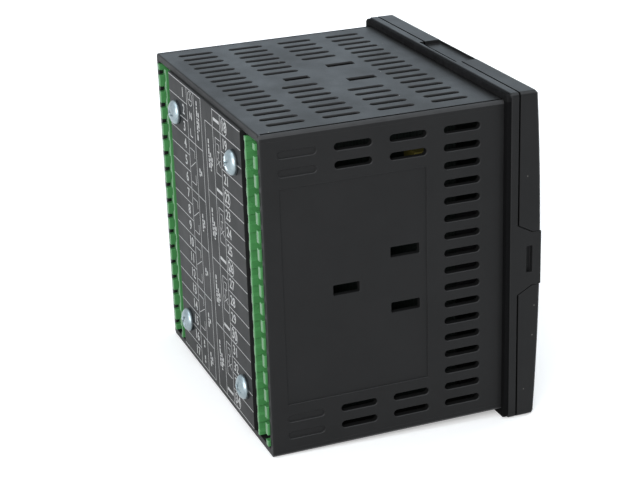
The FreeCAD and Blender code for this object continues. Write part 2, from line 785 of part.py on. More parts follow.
# Connectors that join each upright board to the display board
socket_z = ("-socket_length / 2", "socket_length / 2")
for side, name in SIDES:
    span = mirrored_pair(f"{BOARD_IN} - socket_width", BOARD_IN, side)
    block("display_socket_" + name, span, ("ledge_front", BOARD_FRONT), socket_z)
    block("board_plug_" + name, span, (BOARD_FRONT, f"{BOARD_FRONT} + plug_height"), socket_z)

# Output board: four relays on its inner face, a snubber capacitor for each on its outer face
snubber_rows = ("-snubber_outer", "-snubber_inner", "snubber_inner", "snubber_outer")
for index, row in enumerate(snubber_rows):
    middle = f"({index} - 1.5) * relay_pitch"
    block(
        f"relay_{index + 1}",
        (f"-{BOARD_IN}", f"-({BOARD_IN} - relay_height)"),
        ("relay_front", "relay_front + relay_depth"),
        (f"{middle} - relay_across / 2", f"{middle} + relay_across / 2"),
    )
    block(
        f"snubber_{index + 1}",
        (f"-({BOARD_OUT} + snubber_height)", f"-{BOARD_OUT}"),
        ("snubber_front", "snubber_front + snubber_thickness"),
        (f"{row} - snubber_length / 2", f"{row} + snubber_length / 2"),
    )

# Transformer: a core of two windows, with the winding around its middle limb
core = new_body("transformer_core")
sketch = new_sketch(core, "XZ_Plane", "core_front")
core_low = "core_rise - core_across / 2"
core_high = "core_rise + core_across / 2"
core_end = f"({BOARD_IN} - core_height)"
outline(sketch, box_points(core_end, BOARD_IN, core_low, core_high))
pad(core, sketch, "core_thickness", 1)
sketch = new_sketch(core, "XZ_Plane", "core_front")
window_x = (f"{core_end} + core_limb", f"{BOARD_IN} - core_limb")
outline(sketch, box_points(*window_x, f"{core_low} + core_limb", "core_rise - core_limb"))
outline(sketch, box_points(*window_x, "core_rise + core_limb", f"{core_high} - core_limb"))
pocket(core, sketch, "core_thickness", 1)

winding = new_body("transformer_winding")
sketch = new_sketch(winding, "YZ_Plane", f"{window_x[0]} + winding_play")
out_y = ("core_front - winding_over", "core_front + core_thickness + winding_over")
out_z = (f"{core_low} + core_limb + winding_play", f"{core_high} - core_limb - winding_play")
outline(sketch, box_points(*out_y, *out_z))
limb_y = ("core_front - winding_play", "core_front + core_thickness + winding_play")
limb_z = ("core_rise - core_limb - winding_play", "core_rise + core_limb + winding_play")
outline(sketch, box_points(*limb_y, *limb_z))
pad(winding, sketch, "core_height - 2 * core_limb - 2 * winding_play", 1)

# Input board: a smoothing capacitor and three amplifier chips
can = doc.addObject("Part::Cylinder", "smoothing_capacitor")
can.Label = can.Name
bind(can, "Radius", "can_diameter / 2")
bind(can, "Height", "can_height")
can.Placement.Rotation = FreeCAD.Rotation(AXIS_Y, -90)
bind(can, "Placement.Base.x", BOARD_IN)
bind(can, "Placement.Base.y", "can_depth")
bind(can, "Placement.Base.z", "-can_drop")
nodes.append(can)
for index in range(3):
    middle = f"(-chip_lowest + {index} * chip_pitch)"
    block(
        f"input_chip_{index + 1}",
        (f"{BOARD_IN} - chip_height", BOARD_IN),
        ("chip_front", "chip_front + chip_depth"),
        (f"{middle} - chip_across / 2", f"{middle} + chip_across / 2"),
    )

doc.recompute()
for thing in doc.Objects:
    for state in ("Invalid", "Error"):
        if state in thing.State:
            raise RuntimeError(f"{thing.Name} is {state}")
os.makedirs("parts", exist_ok=True)
for node in nodes:
    if node.Shape.isNull() or not node.Shape.isValid():
        raise RuntimeError(f"{node.Label} has no valid shape")
    node.Shape.exportStep(f"parts/{node.Label}.step")
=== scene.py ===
import bmesh
import bpy
import numpy as np
from mathutils import Matrix, Vector
from mathutils.geometry import tessellate_polygon


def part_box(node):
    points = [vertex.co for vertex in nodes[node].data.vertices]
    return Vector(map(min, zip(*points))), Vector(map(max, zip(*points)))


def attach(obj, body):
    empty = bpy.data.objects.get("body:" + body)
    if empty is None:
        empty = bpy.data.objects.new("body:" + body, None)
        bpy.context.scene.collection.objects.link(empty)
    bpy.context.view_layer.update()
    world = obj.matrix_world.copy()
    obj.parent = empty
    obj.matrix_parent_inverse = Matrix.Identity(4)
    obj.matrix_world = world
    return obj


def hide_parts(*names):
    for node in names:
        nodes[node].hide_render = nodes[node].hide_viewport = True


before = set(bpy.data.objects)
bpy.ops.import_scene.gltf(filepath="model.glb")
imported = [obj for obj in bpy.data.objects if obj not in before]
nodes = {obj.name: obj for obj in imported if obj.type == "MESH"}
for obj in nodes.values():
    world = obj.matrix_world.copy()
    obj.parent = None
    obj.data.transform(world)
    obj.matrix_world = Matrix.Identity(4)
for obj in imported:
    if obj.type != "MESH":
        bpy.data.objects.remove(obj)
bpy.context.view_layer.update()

MM = 0.001

# Studio: the controller rests on the lower edge of its bezel and the lower rear edge of its case, so the
# table slopes a little in the controller's own frame. A pale table in a white room, soft boxes overhead,
# beside, beyond and in front; the camera stands behind and to the left, looking down on the case.
scene = bpy.context.scene
scene.view_settings.view_transform = "Standard"

AZIMUTH = np.radians(249.15)
ELEVATION = np.radians(21.29)
ROLL = np.radians(-1.88)
DISTANCE = 504.58
ASIDE = -34.34
ABOVE = -9.52
FOCAL_PIXELS = 1687.5
IMAGE_WIDTH = 640
SENSOR_WIDTH = 36.0
NEAREST = 10.0


def camera_axes(azimuth, elevation, roll):
    """Right lies level and back points away from the object; right and up then turn by the roll."""
    level = np.array([np.cos(azimuth), np.sin(azimuth), 0.0])
    outward = np.array([np.sin(azimuth), -np.cos(azimuth)])
    back = np.append(np.cos(elevation) * outward, np.sin(elevation))
    raised = np.cross(back, level)
    right = np.cos(roll) * level + np.sin(roll) * raised
    up = -np.sin(roll) * level + np.cos(roll) * raised
    return right, up, back


right, up, back = camera_axes(AZIMUTH, ELEVATION, ROLL)
lens = bpy.data.cameras.new("studio_camera")
lens.sensor_width = SENSOR_WIDTH
lens.lens = FOCAL_PIXELS / IMAGE_WIDTH * SENSOR_WIDTH
lens.clip_start = NEAREST * MM
camera = bpy.data.objects.new("studio_camera", lens)
stand = np.eye(4)
stand[:3, :3] = np.stack([right, up, back], axis=1)
stand[:3, 3] = (right * ASIDE + up * ABOVE + back * DISTANCE) * MM
camera.matrix_world = Matrix(stand.tolist())
scene.collection.objects.link(camera)
scene.camera = camera


def shader(material, kind, values=None, **settings):
    """Adds a shader node; each value goes on the named input, as a link where it is a node's output."""
    node = material.node_tree.nodes.new("ShaderNode" + kind)
    for name, value in settings.items():
        setattr(node, name, value)
    for name, value in (values or {}).items():
        if isinstance(value, bpy.types.NodeSocket):
            material.node_tree.links.new(value, node.inputs[name])
        else:
            node.inputs[name].default_value = value
    return node


def new_material(name):
    """Material with an empty node tree."""
    material = bpy.data.materials.new(name)
    material.use_nodes = True
    material.node_tree.nodes.clear()
    return material


def place_on(material):
    """Place of a point in the piece's own frame, which is the controller's."""
    return shader(material, "TexCoord").outputs["Object"]


def worked_out(material, operation, first, second, **settings):
    """Two values joined by an operation such as MULTIPLY or MAXIMUM."""
    return shader(material, "Math", {0: first, 1: second}, operation=operation, **settings).outputs[0]


def worked_vector(material, operation, first, second=None):
    """A vector, or two, put through an operation such as ABSOLUTE or SUBTRACT."""
    values = {0: first} if second is None else {0: first, 1: second}
    return shader(material, "VectorMath", values, operation=operation)


def carried(material, value, start, end, low, high):
    """A value carried from the range start to end into the range low to high, and held at its ends."""
    limits = {"Value": value, "From Min": start, "From Max": end, "To Min": low, "To Max": high}
    return shader(material, "MapRange", limits).outputs["Result"]


def blended(material, share, first, second, data_type="RGBA", **settings):
    """The first of two colours or values where the share is 0, the second where it is 1."""
    values = {"Factor": share, "A": first, "B": second}
    return shader(material, "Mix", values, data_type=data_type, **settings).outputs["Result"]


def noise(material, **values):
    """Cloudy pattern on the piece's own frame."""
    values = {name.title(): value for name, value in values.items()}
    return shader(material, "TexNoise", {"Vector": place_on(material), **values}).outputs["Fac"]


def seen_directly(owner):
    """1 where a ray comes straight from the camera, a mirror or a clear pane, else 0."""
    path = shader(owner, "LightPath").outputs
    mirror = worked_out(owner, "MAXIMUM", path["Is Camera Ray"], path["Is Glossy Ray"])
    return worked_out(owner, "MAXIMUM", mirror, path["Is Transmission Ray"])


def span(name, axis):
    """Least and greatest place of a CAD piece along an axis, in millimetres to four decimals."""
    return [round(corner[axis] / MM, 4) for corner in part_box(name)]


CASE_REAR = span("case", axis=1)[1]
TABLE_FRONT = span("front_frame", axis=2)[0]
TABLE_REAR = span("case", axis=2)[0]
TABLE_GAP = 0.02
TABLE_REACH = 2000.0
WHITE = (1, 1, 1, 1)
ROOM_TINT = (0.88, 0.95, 1.0, 1)
slope = (TABLE_REAR - TABLE_FRONT) / CASE_REAR
reach = np.array([[-1, -1], [1, -1], [1, 1], [-1, 1]]) * TABLE_REACH
corners = np.column_stack([reach, TABLE_FRONT - TABLE_GAP + slope * reach[:, 1]]) * MM
table_mesh = bpy.data.meshes.new("table")
table_mesh.from_pydata(corners.tolist(), [], [(0, 1, 2, 3)])
table = bpy.data.objects.new("table", table_mesh)
scene.collection.objects.link(table)

paper = new_material("table_paper")
fibre = noise(paper, scale=900.0, detail=2.0)
matt = shader(paper, "BsdfDiffuse", {"Color": carried(paper, fibre, 0, 1, low=0.80, high=0.84)})
far = worked_vector(paper, "LENGTH", place_on(paper)).outputs["Value"]
fade = carried(paper, far, start=0.2, end=1.3, low=0.32, high=0.9)
lift = worked_out(paper, "MULTIPLY", seen_directly(paper), fade)
glow = shader(paper, "Emission", {"Color": WHITE, "Strength": lift})
both = shader(paper, "AddShader", {0: matt.outputs[0], 1: glow.outputs[0]})
shader(paper, "OutputMaterial", {"Surface": both.outputs[0]})
table_mesh.materials.append(paper)

room = bpy.data.worlds.new("white_room")
room.use_nodes = True
room.node_tree.nodes.clear()
level = carried(room, seen_directly(room), 0, 1, low=0.30, high=1.0)
tint = blended(room, shader(room, "LightPath").outputs["Is Camera Ray"], ROOM_TINT, WHITE)
sky = shader(room, "Background", {"Color": tint, "Strength": level})
shader(room, "OutputWorld", {"Surface": sky.outputs[0]})
scene.world = room
LIT_MIDDLE = Vector((0, 30, 0)) * MM


def soft_box(name, place, size, power, tint):
    """Square area lamp at a place in millimetres, turned to face the middle of the controller."""
    lamp = bpy.data.lights.new(name, "AREA")
    lamp.shape = "SQUARE"
    lamp.size = size * MM
    lamp.energy = power
    lamp.color = tint
    holder = bpy.data.objects.new(name, lamp)
    spot = Vector(place) * MM
    holder.location = spot
    holder.rotation_euler = (LIT_MIDDLE - spot).to_track_quat("-Z", "Y").to_euler()
    scene.collection.objects.link(holder)


soft_box("soft_box_overhead", place=(-60, 60, 760), size=700, power=3.4, tint=(0.88, 0.95, 1.0))
soft_box("soft_box_beside", place=(-570, 460, 350), size=500, power=5.9, tint=(1.0, 1.0, 1.0))
soft_box("soft_box_beyond", place=(640, -210, 290), size=420, power=0.60, tint=(0.68, 0.85, 1.0))
soft_box("soft_box_front", place=(260, -700, 300), size=450, power=3.0, tint=(1.0, 1.0, 1.0))

# Case: one moulded sleeve of dark grey flame-retardant plastic with a spark-eroded surface, open in front
# and crossed by a partition near its rear. Slots with round ends pierce all four walls, a fine seam runs
# beside each rounded long edge, and each side has a shallow label recess and two pairs of blind slots.
CASE_HALF = span("case", axis=0)[1]
CASE_WALL = 2.0
INNER_HALF = CASE_HALF - CASE_WALL
CASE_FRONT = span("case", axis=1)[0]
BEFORE_CASE = CASE_FRONT - 1.0
CASE_COLOUR = (0.0092, 0.0092, 0.0095)
LONG_EDGE = 1.0
EDGE_START = CASE_HALF - LONG_EDGE
EDGE_FLATNESS = 1.4
EDGE_HIGHLIGHT_COLOUR = (0.036, 0.036, 0.037)
HIGHLIGHT_RAMP = 0.15
SEAM_WIDTH = 0.8
SEAM_DEPTH = 0.8
SEAM_SKIN = 0.03
SEAM_STOP = 0.7
STOP_SHORT = 0.1
HAIR = 0.02
SHADOW_BLACK = (0.001, 0.001, 0.001)
RIM_EDGE = 0.3
RIM_STEPS = RIM_EDGE * np.array([[1.0, 0.0], [0.29, 0.29], [0.0, 1.0]])
SIDE_LIP = 0.2
TOP_LIP = 0.08
SLOT_HALF = (5.3, 1.05)
SLOT_ROUND = 1.0
SLOTS_END = 66.5
COLUMNS = 13.3 + 15.6 * np.arange(4)
SIDE_ROWS = 5.0 * np.arange(-8, 9)
TOP_ROWS = 5.08 * (np.arange(16) - 7.5)
LABEL_FRONT = 23.75
LABEL_REAR = 65.3
LABEL_HALF = 30.8
LABEL_DEPTH = 0.35
BLIND_DEPTH = 0.45
SKIN_DEPTH = 0.47
INSIDE_SHADE_COLOUR = (0.0022, 0.0022, 0.0022)
# Painted light in the slots: paler over this depth below the surface, in a paler colour that the seal's
# upper run shares.
PAINTED_LIGHT_DEPTH = 0.6
PALER_COLOUR = (0.045, 0.045, 0.046)
WORN_WIDTH = 0.22
WORN_GAIN = 2.6
WORN_LIFT = 0.012
PIT_DEPTH = 0.04
ROUGH_SPREAD = 0.06
SPECK_SIZE = 0.045
SPECK_CHOICE = 0.80
SPECK_COLOUR = (0.30, 0.29, 0.27, 1)
CLAMP_WIDTH = 2.9
CLAMP_ROUND = 0.3
CLAMP_OFFSET = 8.05
CLAMP_LONG = 8.4
CLAMP_SHORT = 7.5
SIDE_CLAMPS = (25.9, 43.5)
TOP_CLAMPS = (21.9, 38.8)
PARTITION_HALF = 32.4
PARTITION_FRONT = 66.8
PARTITION_REAR = 68.8
SCREW_ACROSS = 25.5
SCREW_UPRIGHT = 33.0
POST_HALF = 3.5
POST_FRONT = 59.3
GUIDE_WALLS = ((32.2, 33.4), (35.2, 36.4))
GUIDE_PLACES = (19.1, 50.3)
GUIDE_LENGTH = 4.0
GUIDE_HEIGHT = 1.5


def rounded_loop(middle, half, radius, grow=0.0, steps=6):
    """Rounded rectangle: four quarter arcs of a radius about the corner centres, pushed out by grow."""
    turn = np.radians(np.linspace(0, 90, steps) + 90.0 * np.arange(4)[:, None])
    quadrant = np.array([[1, 1], [-1, 1], [-1, -1], [1, -1]])
    centre = quadrant * (np.array(half) - radius)
    arcs = centre[:, None] + (radius + grow) * np.stack([np.cos(turn), np.sin(turn)], axis=-1)
    return arcs.reshape(-1, 2) + middle


def rectangle(low, high):
    """Four corners of a rectangle, from its low corner round to the left of its high one."""
    (x0, y0), (x1, y1) = low, high
    return np.array([[x0, y0], [x1, y0], [x1, y1], [x0, y1]], dtype=float)


class Moulding:
    """Gathers surfaces of one piece, in millimetres, and welds them into a single closed mesh."""

    def __init__(self):
        self.points = []
        self.faces = []
        self.count = 0

    def add(self, points, faces):
        """Takes in points, and faces that count from the first of them."""
        points = np.asarray(points, dtype=float).reshape(-1, 3)
        self.points.append(points)
        self.faces.extend((np.asarray(faces) + self.count).tolist())
        self.count += len(points)

    def skin(self, rows):
        """Surface through closed loops: point (i, j) joins (i, j+1), (i+1, j+1) and (i+1, j)."""
        rows = np.asarray(rows, dtype=float)
        height, width = rows.shape[:2]
        here = np.arange(height * width).reshape(height, width)
        beside = np.roll(here, -1, axis=1)
        faces = np.stack([here[:-1], beside[:-1], beside[1:], here[1:]], axis=-1)
        self.add(rows, faces.reshape(-1, 4))

    def cap(self, loops, place):
        """Flat face within the first plane loop, the others its holes; place maps loops into space."""
        flat = [[Vector((x, y, 0)) for x, y in loop] for loop in loops]
        self.add(np.concatenate([place(loop) for loop in loops]), tessellate_polygon(flat))

    def close(self, rows, axis):
        """Flat faces over the first and the last loop of a skin, which are each level along an axis."""
        for row in (rows[0], rows[-1]):
            flat = np.delete(row, axis, axis=1)
            self.cap([flat], lambda loop, level=row[0, axis]: np.insert(loop, axis, level, axis=1))

    def blocks(self, boxes):
        """Closed boxes from an array of low and high corners: each corner takes low or high by its bits."""
        boxes = np.asarray(boxes, dtype=float)
        bits = np.array([[i >> 2 & 1, i >> 1 & 1, i & 1] for i in range(8)])
        points = np.where(bits, boxes[:, None, 1], boxes[:, None, 0])
        quads = [[0, 1, 3, 2], [4, 6, 7, 5], [0, 4, 5, 1], [2, 3, 7, 6], [0, 2, 6, 4], [1, 5, 7, 3]]
        self.add(points, (8 * np.arange(len(boxes))[:, None, None] + quads).reshape(-1, 4))

    def mirrored(self, low, high, across=(-1, 1)):
        """A box from its low to its high corner, with its mirror images in X and Z."""
        signs = [np.array([x, 1, z]) for x in across for z in (-1, 1)]
        self.blocks([np.sort([sign * low, sign * high], axis=0) for sign in signs])

    def finish(self, name, material, body="housing", smooth=None):
        """Makes the piece, with its faces turned outwards, and lets it ride on its body."""
        mesh = bpy.data.meshes.new(name)
        mesh.from_pydata((np.concatenate(self.points) * MM).tolist(), [], self.faces)
        work = bmesh.new()
        work.from_mesh(mesh)
        bmesh.ops.remove_doubles(work, verts=work.verts, dist=1e-7)
        bmesh.ops.dissolve_degenerate(work, edges=work.edges, dist=1e-8)
        bmesh.ops.recalc_face_normals(work, faces=work.faces)
        work.to_mesh(mesh)
        work.free()
        if smooth is not None:
            mesh.shade_smooth()
            mesh.set_sharp_from_angle(angle=np.radians(smooth))
        mesh.materials.append(material)
        piece = bpy.data.objects.new(name, mesh)
        scene.collection.objects.link(piece)
        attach(piece, body)
        return piece


def hole_rows(place, hole, start, end, lip):
    """Wall of a hole: its outline grown by a rounded lip at the surface, drawn in, then straight down."""
    turn = np.radians([0, 45, 90])
    grow = np.append(lip * (1 - np.sin(turn)), 0)
    sink = np.append(start + lip * (1 - np.cos(turn)), end)
    return [place(rounded_loop(*hole, g), s) for g, s in zip(grow, sink)]


def case_wall(case, axis, sign, edge, through, lip, blind=(), label=None, clamps=()):
    """One wall of the sleeve: its edge, the walls of its holes, then both faces with the holes left out."""

    def place(loop, sink):
        """A flat loop laid on the wall, sunk below its outer face."""
        spot = np.empty((len(loop), 3))
        spot[:, axis] = sign * (CASE_HALF - sink)
        spot[:, 1] = loop[:, 0]
        spot[:, 2 - axis] = loop[:, 1]
        return spot

    def pierce(hole, start, end):
        """Adds the wall of a hole and gives the outlines of its mouth and its throat."""
        case.skin(hole_rows(place, hole, start, end, lip))
        return rounded_loop(*hole, lip), rounded_loop(*hole)

    case.skin([place(loop, sink) for loop, sink in edge])
    outside = [edge[0][0]]
    inside = [edge[-1][0]]
    for hole in through:
        mouth, throat = pierce(hole, 0, CASE_WALL)
        outside.append(mouth)
        inside.append(throat)
    for hole in blind:
        mouth, throat = pierce(hole, 0, BLIND_DEPTH)
        outside.append(mouth)
        case.cap([throat], lambda loop: place(loop, BLIND_DEPTH))
    if label is not None:
        case.skin([place(label, 0), place(label, LABEL_DEPTH)])
        outside.append(label)
        floor = [label]
        for hole in clamps:
            mouth, throat = pierce(hole, LABEL_DEPTH, CASE_WALL)
            floor.append(mouth)
            inside.append(throat)
        case.cap(floor, lambda loop: place(loop, LABEL_DEPTH))
    case.cap(outside, lambda loop: place(loop, 0))
    case.cap(inside, lambda loop: place(loop, CASE_WALL))


def slots(column, rows):
    """Round-ended slots of one column, each as its middle, half size and corner radius."""
    return [((COLUMNS[column], row), SLOT_HALF, SLOT_ROUND) for row in rows]


def outer_rows(rows, count):
    """The first and the last few rows."""
    return np.concatenate([rows[:count], rows[-count:]])


def clamp_holes(pair, single):
    """Three rectangular holes for a panel clamp: two side by side at the front, one between them behind."""
    spots = [(pair, CLAMP_LONG, CLAMP_OFFSET), (pair, CLAMP_LONG, -CLAMP_OFFSET), (single, CLAMP_SHORT, 0.0)]
    return [
        ((front + long / 2, across), (long / 2, CLAMP_WIDTH / 2), CLAMP_ROUND)
        for front, long, across in spots
    ]


def wall_edge(outer, seam=0.0):
    """Outline of a wall from its outer face in: rear end rounded over, both sides stepped for a seam."""
    narrow = outer - seam
    rows = []
    for short, sink in RIM_STEPS:
        rows.append((rectangle((CASE_FRONT, -narrow), (CASE_REAR - short, narrow)), sink))
    whole = rectangle((CASE_FRONT, -outer), (CASE_REAR, outer))
    if seam:
        rows.append((whole, SEAM_DEPTH))
    rows.append((whole, CASE_WALL))
    return rows


def long_edge(case, across, upright, arc_steps=9):
    """A flattened quarter arc closed by two legs, carried along the case, its rear end rounded over."""
    turn = np.radians(np.linspace(0, 90, arc_steps))
    outward = np.stack([np.cos(turn), np.sin(turn)], axis=-1)
    arc = EDGE_START + LONG_EDGE * outward**EDGE_FLATNESS
    section = np.concatenate([[[EDGE_START, INNER_HALF], [CASE_HALF, INNER_HALF]], arc])
    inward = -np.concatenate([[[0, 0], [1, 0]], outward])
    rows = []
    for depth, draw in [(CASE_FRONT, 0.0), *((CASE_REAR - short, sink) for short, sink in RIM_STEPS)]:
        drawn = section + draw * inward
        rows.append(np.insert(drawn * (across, upright), 1, depth, axis=1))
    case.skin(rows)
    case.close(rows, axis=1)


def surfaced(material, colour, rough, relief=None, metal=0.0, shine=0.5):
    """Gives a material its surface: colour, roughness, relief, and how far it is metal and shines."""
    values = {"Base Color": colour, "Roughness": rough, "Metallic": metal, "Specular IOR Level": shine}
    surface = shader(material, "BsdfPrincipled", values)
    if relief is not None:
        material.node_tree.links.new(relief.outputs[0], surface.inputs["Normal"])
    shader(material, "OutputMaterial", {"Surface": surface.outputs[0]})
    return material


def product(material, first, *others):
    """Shares multiplied together, so that masks of 0 and 1 leave only where all of them are 1."""
    for other in others:
        first = worked_out(material, "MULTIPLY", first, other)
    return first


def moulded_plastic(name, colour, rough, grain=0.35, worn=0.5, specks=0.0, shine=0.15):
    """Spark-eroded moulding: fine noise as relief, mottled colour, paler worn edges and stray dust."""
    material = new_material(name)
    pits = noise(material, scale=4200.0, detail=3.0, roughness=0.65)
    cloud = noise(material, scale=70.0, detail=4.0, roughness=0.6)
    shade = carried(material, cloud, start=0.3, end=0.7, low=0.86, high=1.14)
    body = blended(material, 1.0, (*colour, 1), shade, blend_type="MULTIPLY")
    soft = shader(material, "Bevel", {"Radius": WORN_WIDTH * MM}, samples=6).outputs[0]
    true = shader(material, "NewGeometry").outputs["Normal"]
    flat = worked_vector(material, "DOT_PRODUCT", soft, true).outputs["Value"]
    edge = carried(material, flat, start=1.0, end=0.75, low=0.0, high=worn)
    pale = [min(1.0, WORN_GAIN * part + WORN_LIFT) for part in colour]
    rubbed = blended(material, edge, body, (*pale, 1))
    dust = shader(material, "TexVoronoi", {"Vector": place_on(material), "Scale": 210.0}).outputs
    near = worked_out(material, "LESS_THAN", dust["Distance"], SPECK_SIZE)
    lot = shader(material, "SeparateColor", {"Color": dust["Color"]}).outputs["Red"]
    few = worked_out(material, "GREATER_THAN", lot, SPECK_CHOICE)
    dusty = blended(material, product(material, near, few, specks), rubbed, SPECK_COLOUR)
    satin = carried(material, cloud, start=0.3, end=0.7, low=rough - ROUGH_SPREAD, high=rough + ROUGH_SPREAD)
    bumps = {"Strength": grain, "Distance": PIT_DEPTH * MM, "Height": pits, "Normal": soft}
    relief = shader(material, "Bump", bumps)
    return surfaced(material, dusty, satin, relief, shine=shine)


def overlay(material, share, colour, rough=None):
    """Lays another colour, and where given another roughness, over a finish by a share from 0 to 1."""
    surface = next(node for node in material.node_tree.nodes if node.type == "BSDF_PRINCIPLED")
    for name, kind, value in (("Base Color", "RGBA", (*colour, 1)), ("Roughness", "FLOAT", rough)):
        if value is not None:
            plain = surface.inputs[name].links[0].from_socket
            mixed = blended(material, share, plain, value, data_type=kind)
            material.node_tree.links.new(mixed, surface.inputs[name])


def parted(material, vector):
    """X, Y and Z of a vector."""
    return shader(material, "SeparateXYZ", {"Vector": vector}).outputs


def from_middle(material):
    """Distance from the middle across, place along the depth, and distance from the middle upright."""
    where = place_on(material)
    folded = parted(material, worked_vector(material, "ABSOLUTE", where).outputs[0])
    return folded["X"], parted(material, where)["Y"], folded["Z"]


def within(material, value, low, high):
    """1 where a coordinate lies between two values in millimetres, else 0."""
    limits = {0: value, 1: (low + high) / 2 * MM, 2: (high - low) / 2 * MM}
    return shader(material, "Math", limits, operation="COMPARE").outputs[0]


def rubbed_edges(material, start, colour):
    """Painted highlight, uneven, where X and Z are both past a distance from the middle: along the four long
    edges.
    """
    across, _, upright = from_middle(material)
    least = worked_out(material, "MINIMUM", across, upright)
    near = carried(material, least, start * MM, (start + HIGHLIGHT_RAMP) * MM, low=0, high=1)
    uneven = carried(material, noise(material, scale=300.0, detail=3.0), 0, 1, low=0.6, high=1.3)
    overlay(material, worked_out(material, "MULTIPLY", near, uneven, use_clamp=True), colour)


def black_seam(material):
    """Black below the skin in the seam beside each long edge, where no light reaches."""
    across, along, upright = from_middle(material)
    seam = product(
        material,
        within(material, across, EDGE_START - SEAM_WIDTH - HAIR, EDGE_START + HAIR),
        within(material, upright, CASE_HALF - SEAM_DEPTH - HAIR, CASE_HALF - SEAM_SKIN),
        within(material, along, BEFORE_CASE, CASE_REAR - SEAM_STOP),
    )
    overlay(material, seam, SHADOW_BLACK, rough=1.0)


def black_inside(material):
    """Painted shade: black below the skin in X and Z, ahead of the rear rim, on the inside and the slots'
    walls.
    """
    across, along, upright = from_middle(material)
    most = worked_out(material, "MAXIMUM", across, upright)
    below = within(material, most, 0.0, CASE_HALF - SKIN_DEPTH)
    ahead = within(material, along, BEFORE_CASE, SLOTS_END)
    overlay(material, product(material, below, ahead), INSIDE_SHADE_COLOUR, rough=1.0)


def dusty_slots(material):
    """Painted light: paler high on the top slots' walls, and a painted highlight on the side slots' lips as
    far as they face up.
    """
    across, along, upright = from_middle(material)
    ahead = within(material, along, BEFORE_CASE, SLOTS_END)
    grown = carried(material, upright, (CASE_HALF - PAINTED_LIGHT_DEPTH) * MM, CASE_HALF * MM, low=0, high=1)
    in_wall = within(material, upright, INNER_HALF, CASE_HALF - TOP_LIP / 2)
    between = within(material, across, 0.0, INNER_HALF)
    overlay(material, product(material, grown, in_wall, between, ahead), PALER_COLOUR)
    normal = shader(material, "NewGeometry").outputs["Normal"]
    upward = worked_out(material, "MAXIMUM", parted(material, normal)["Z"], 0.0)
    lip = within(material, across, CASE_HALF - SIDE_LIP - HAIR, CASE_HALF - HAIR / 2)
    between = within(material, upright, 0.0, INNER_HALF)
    overlay(material, product(material, upward, lip, between, ahead), PALER_COLOUR)


# Case finish with painted light and shade: a painted highlight along the long edges, painted shade in the
# seams and inside, painted light in the slots.
case_plastic = moulded_plastic("case_plastic", CASE_COLOUR, rough=0.5, specks=0.6)
rubbed_edges(case_plastic, EDGE_START, EDGE_HIGHLIGHT_COLOUR)
black_seam(case_plastic)
black_inside(case_plastic)
dusty_slots(case_plastic)

case = Moulding()
side_ends = outer_rows(SIDE_ROWS, 2)
side_slots = slots(0, SIDE_ROWS) + slots(1, side_ends) + slots(2, side_ends)
label_recess = rectangle((LABEL_FRONT, -LABEL_HALF), (LABEL_REAR, LABEL_HALF))
top_slots = slots(0, TOP_ROWS) + slots(1, outer_rows(TOP_ROWS, 5)) + slots(2, outer_rows(TOP_ROWS, 7))
top_holes = top_slots + slots(3, TOP_ROWS) + clamp_holes(*TOP_CLAMPS)
for sign in (-1, 1):
    case_wall(
        case, axis=0, sign=sign, edge=wall_edge(INNER_HALF), through=side_slots, lip=SIDE_LIP,
        blind=slots(3, side_ends), label=label_recess, clamps=clamp_holes(*SIDE_CLAMPS),
    )
    top_edge = wall_edge(EDGE_START, SEAM_WIDTH)
    case_wall(case, axis=2, sign=sign, edge=top_edge, through=top_holes, lip=TOP_LIP)
for across in (-1, 1):
    for upright in (-1, 1):
        long_edge(case, across, upright)
case.blocks(
    [[(-PARTITION_HALF, PARTITION_FRONT, -INNER_HALF), (PARTITION_HALF, PARTITION_REAR, INNER_HALF)]]
)
case.mirrored(
    (SCREW_ACROSS - POST_HALF, POST_FRONT, SCREW_UPRIGHT - POST_HALF),
    (SCREW_ACROSS + POST_HALF, PARTITION_FRONT, SCREW_UPRIGHT + POST_HALF),
)
for near, far in GUIDE_WALLS:
    for front in GUIDE_PLACES:
        case.mirrored((near, front, INNER_HALF - GUIDE_HEIGHT), (far, front + GUIDE_LENGTH, INNER_HALF))
case.mirrored(
    (EDGE_START - SEAM_WIDTH, CASE_REAR - SEAM_STOP, CASE_HALF - SEAM_DEPTH),
    (EDGE_START, CASE_REAR - STOP_SHORT, CASE_HALF - SEAM_SKIN),
)
case_piece = case.finish("case_sleeve", case_plastic)
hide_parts("case")

# Inside the case: two upright boards of dark lacquered laminate carry relays, film capacitors, a mains
# transformer and chips, soldered in place; a third board behind the front holds the display and the keys'
# switches. All of it shows only as glimpses through the slots.
BAND_LENGTH = 0.314
LACQUER = (0.0030, 0.0044, 0.0038, 1)
TRACK = (0.006, 0.010, 0.008, 1)


def dress(material, *names):
    """Gives CAD pieces, which keep their own shape, a finish."""
    for name in names:
        nodes[name].material_slots[0].material = material


def banded_finish(name, colour, other, pitch, rough, metal, axis):
    """Fine parallel bands of two tones along one axis, as on stacked sheets, wound tape or drawn metal."""
    material = new_material(name)
    bands = shader(
        material, "TexWave",
        {
            "Vector": place_on(material), "Scale": BAND_LENGTH / (pitch * MM),
            "Distortion": 0.6, "Detail": 2.0, "Detail Scale": 3.0,
        },
        bands_direction=axis,
    ).outputs["Fac"]
    tone = blended(material, bands, (*colour, 1), (*other, 1))
    relief = shader(material, "Bump", {"Strength": 0.4, "Distance": 0.05 * MM, "Height": bands})
    return surfaced(material, tone, rough, relief, metal=metal)


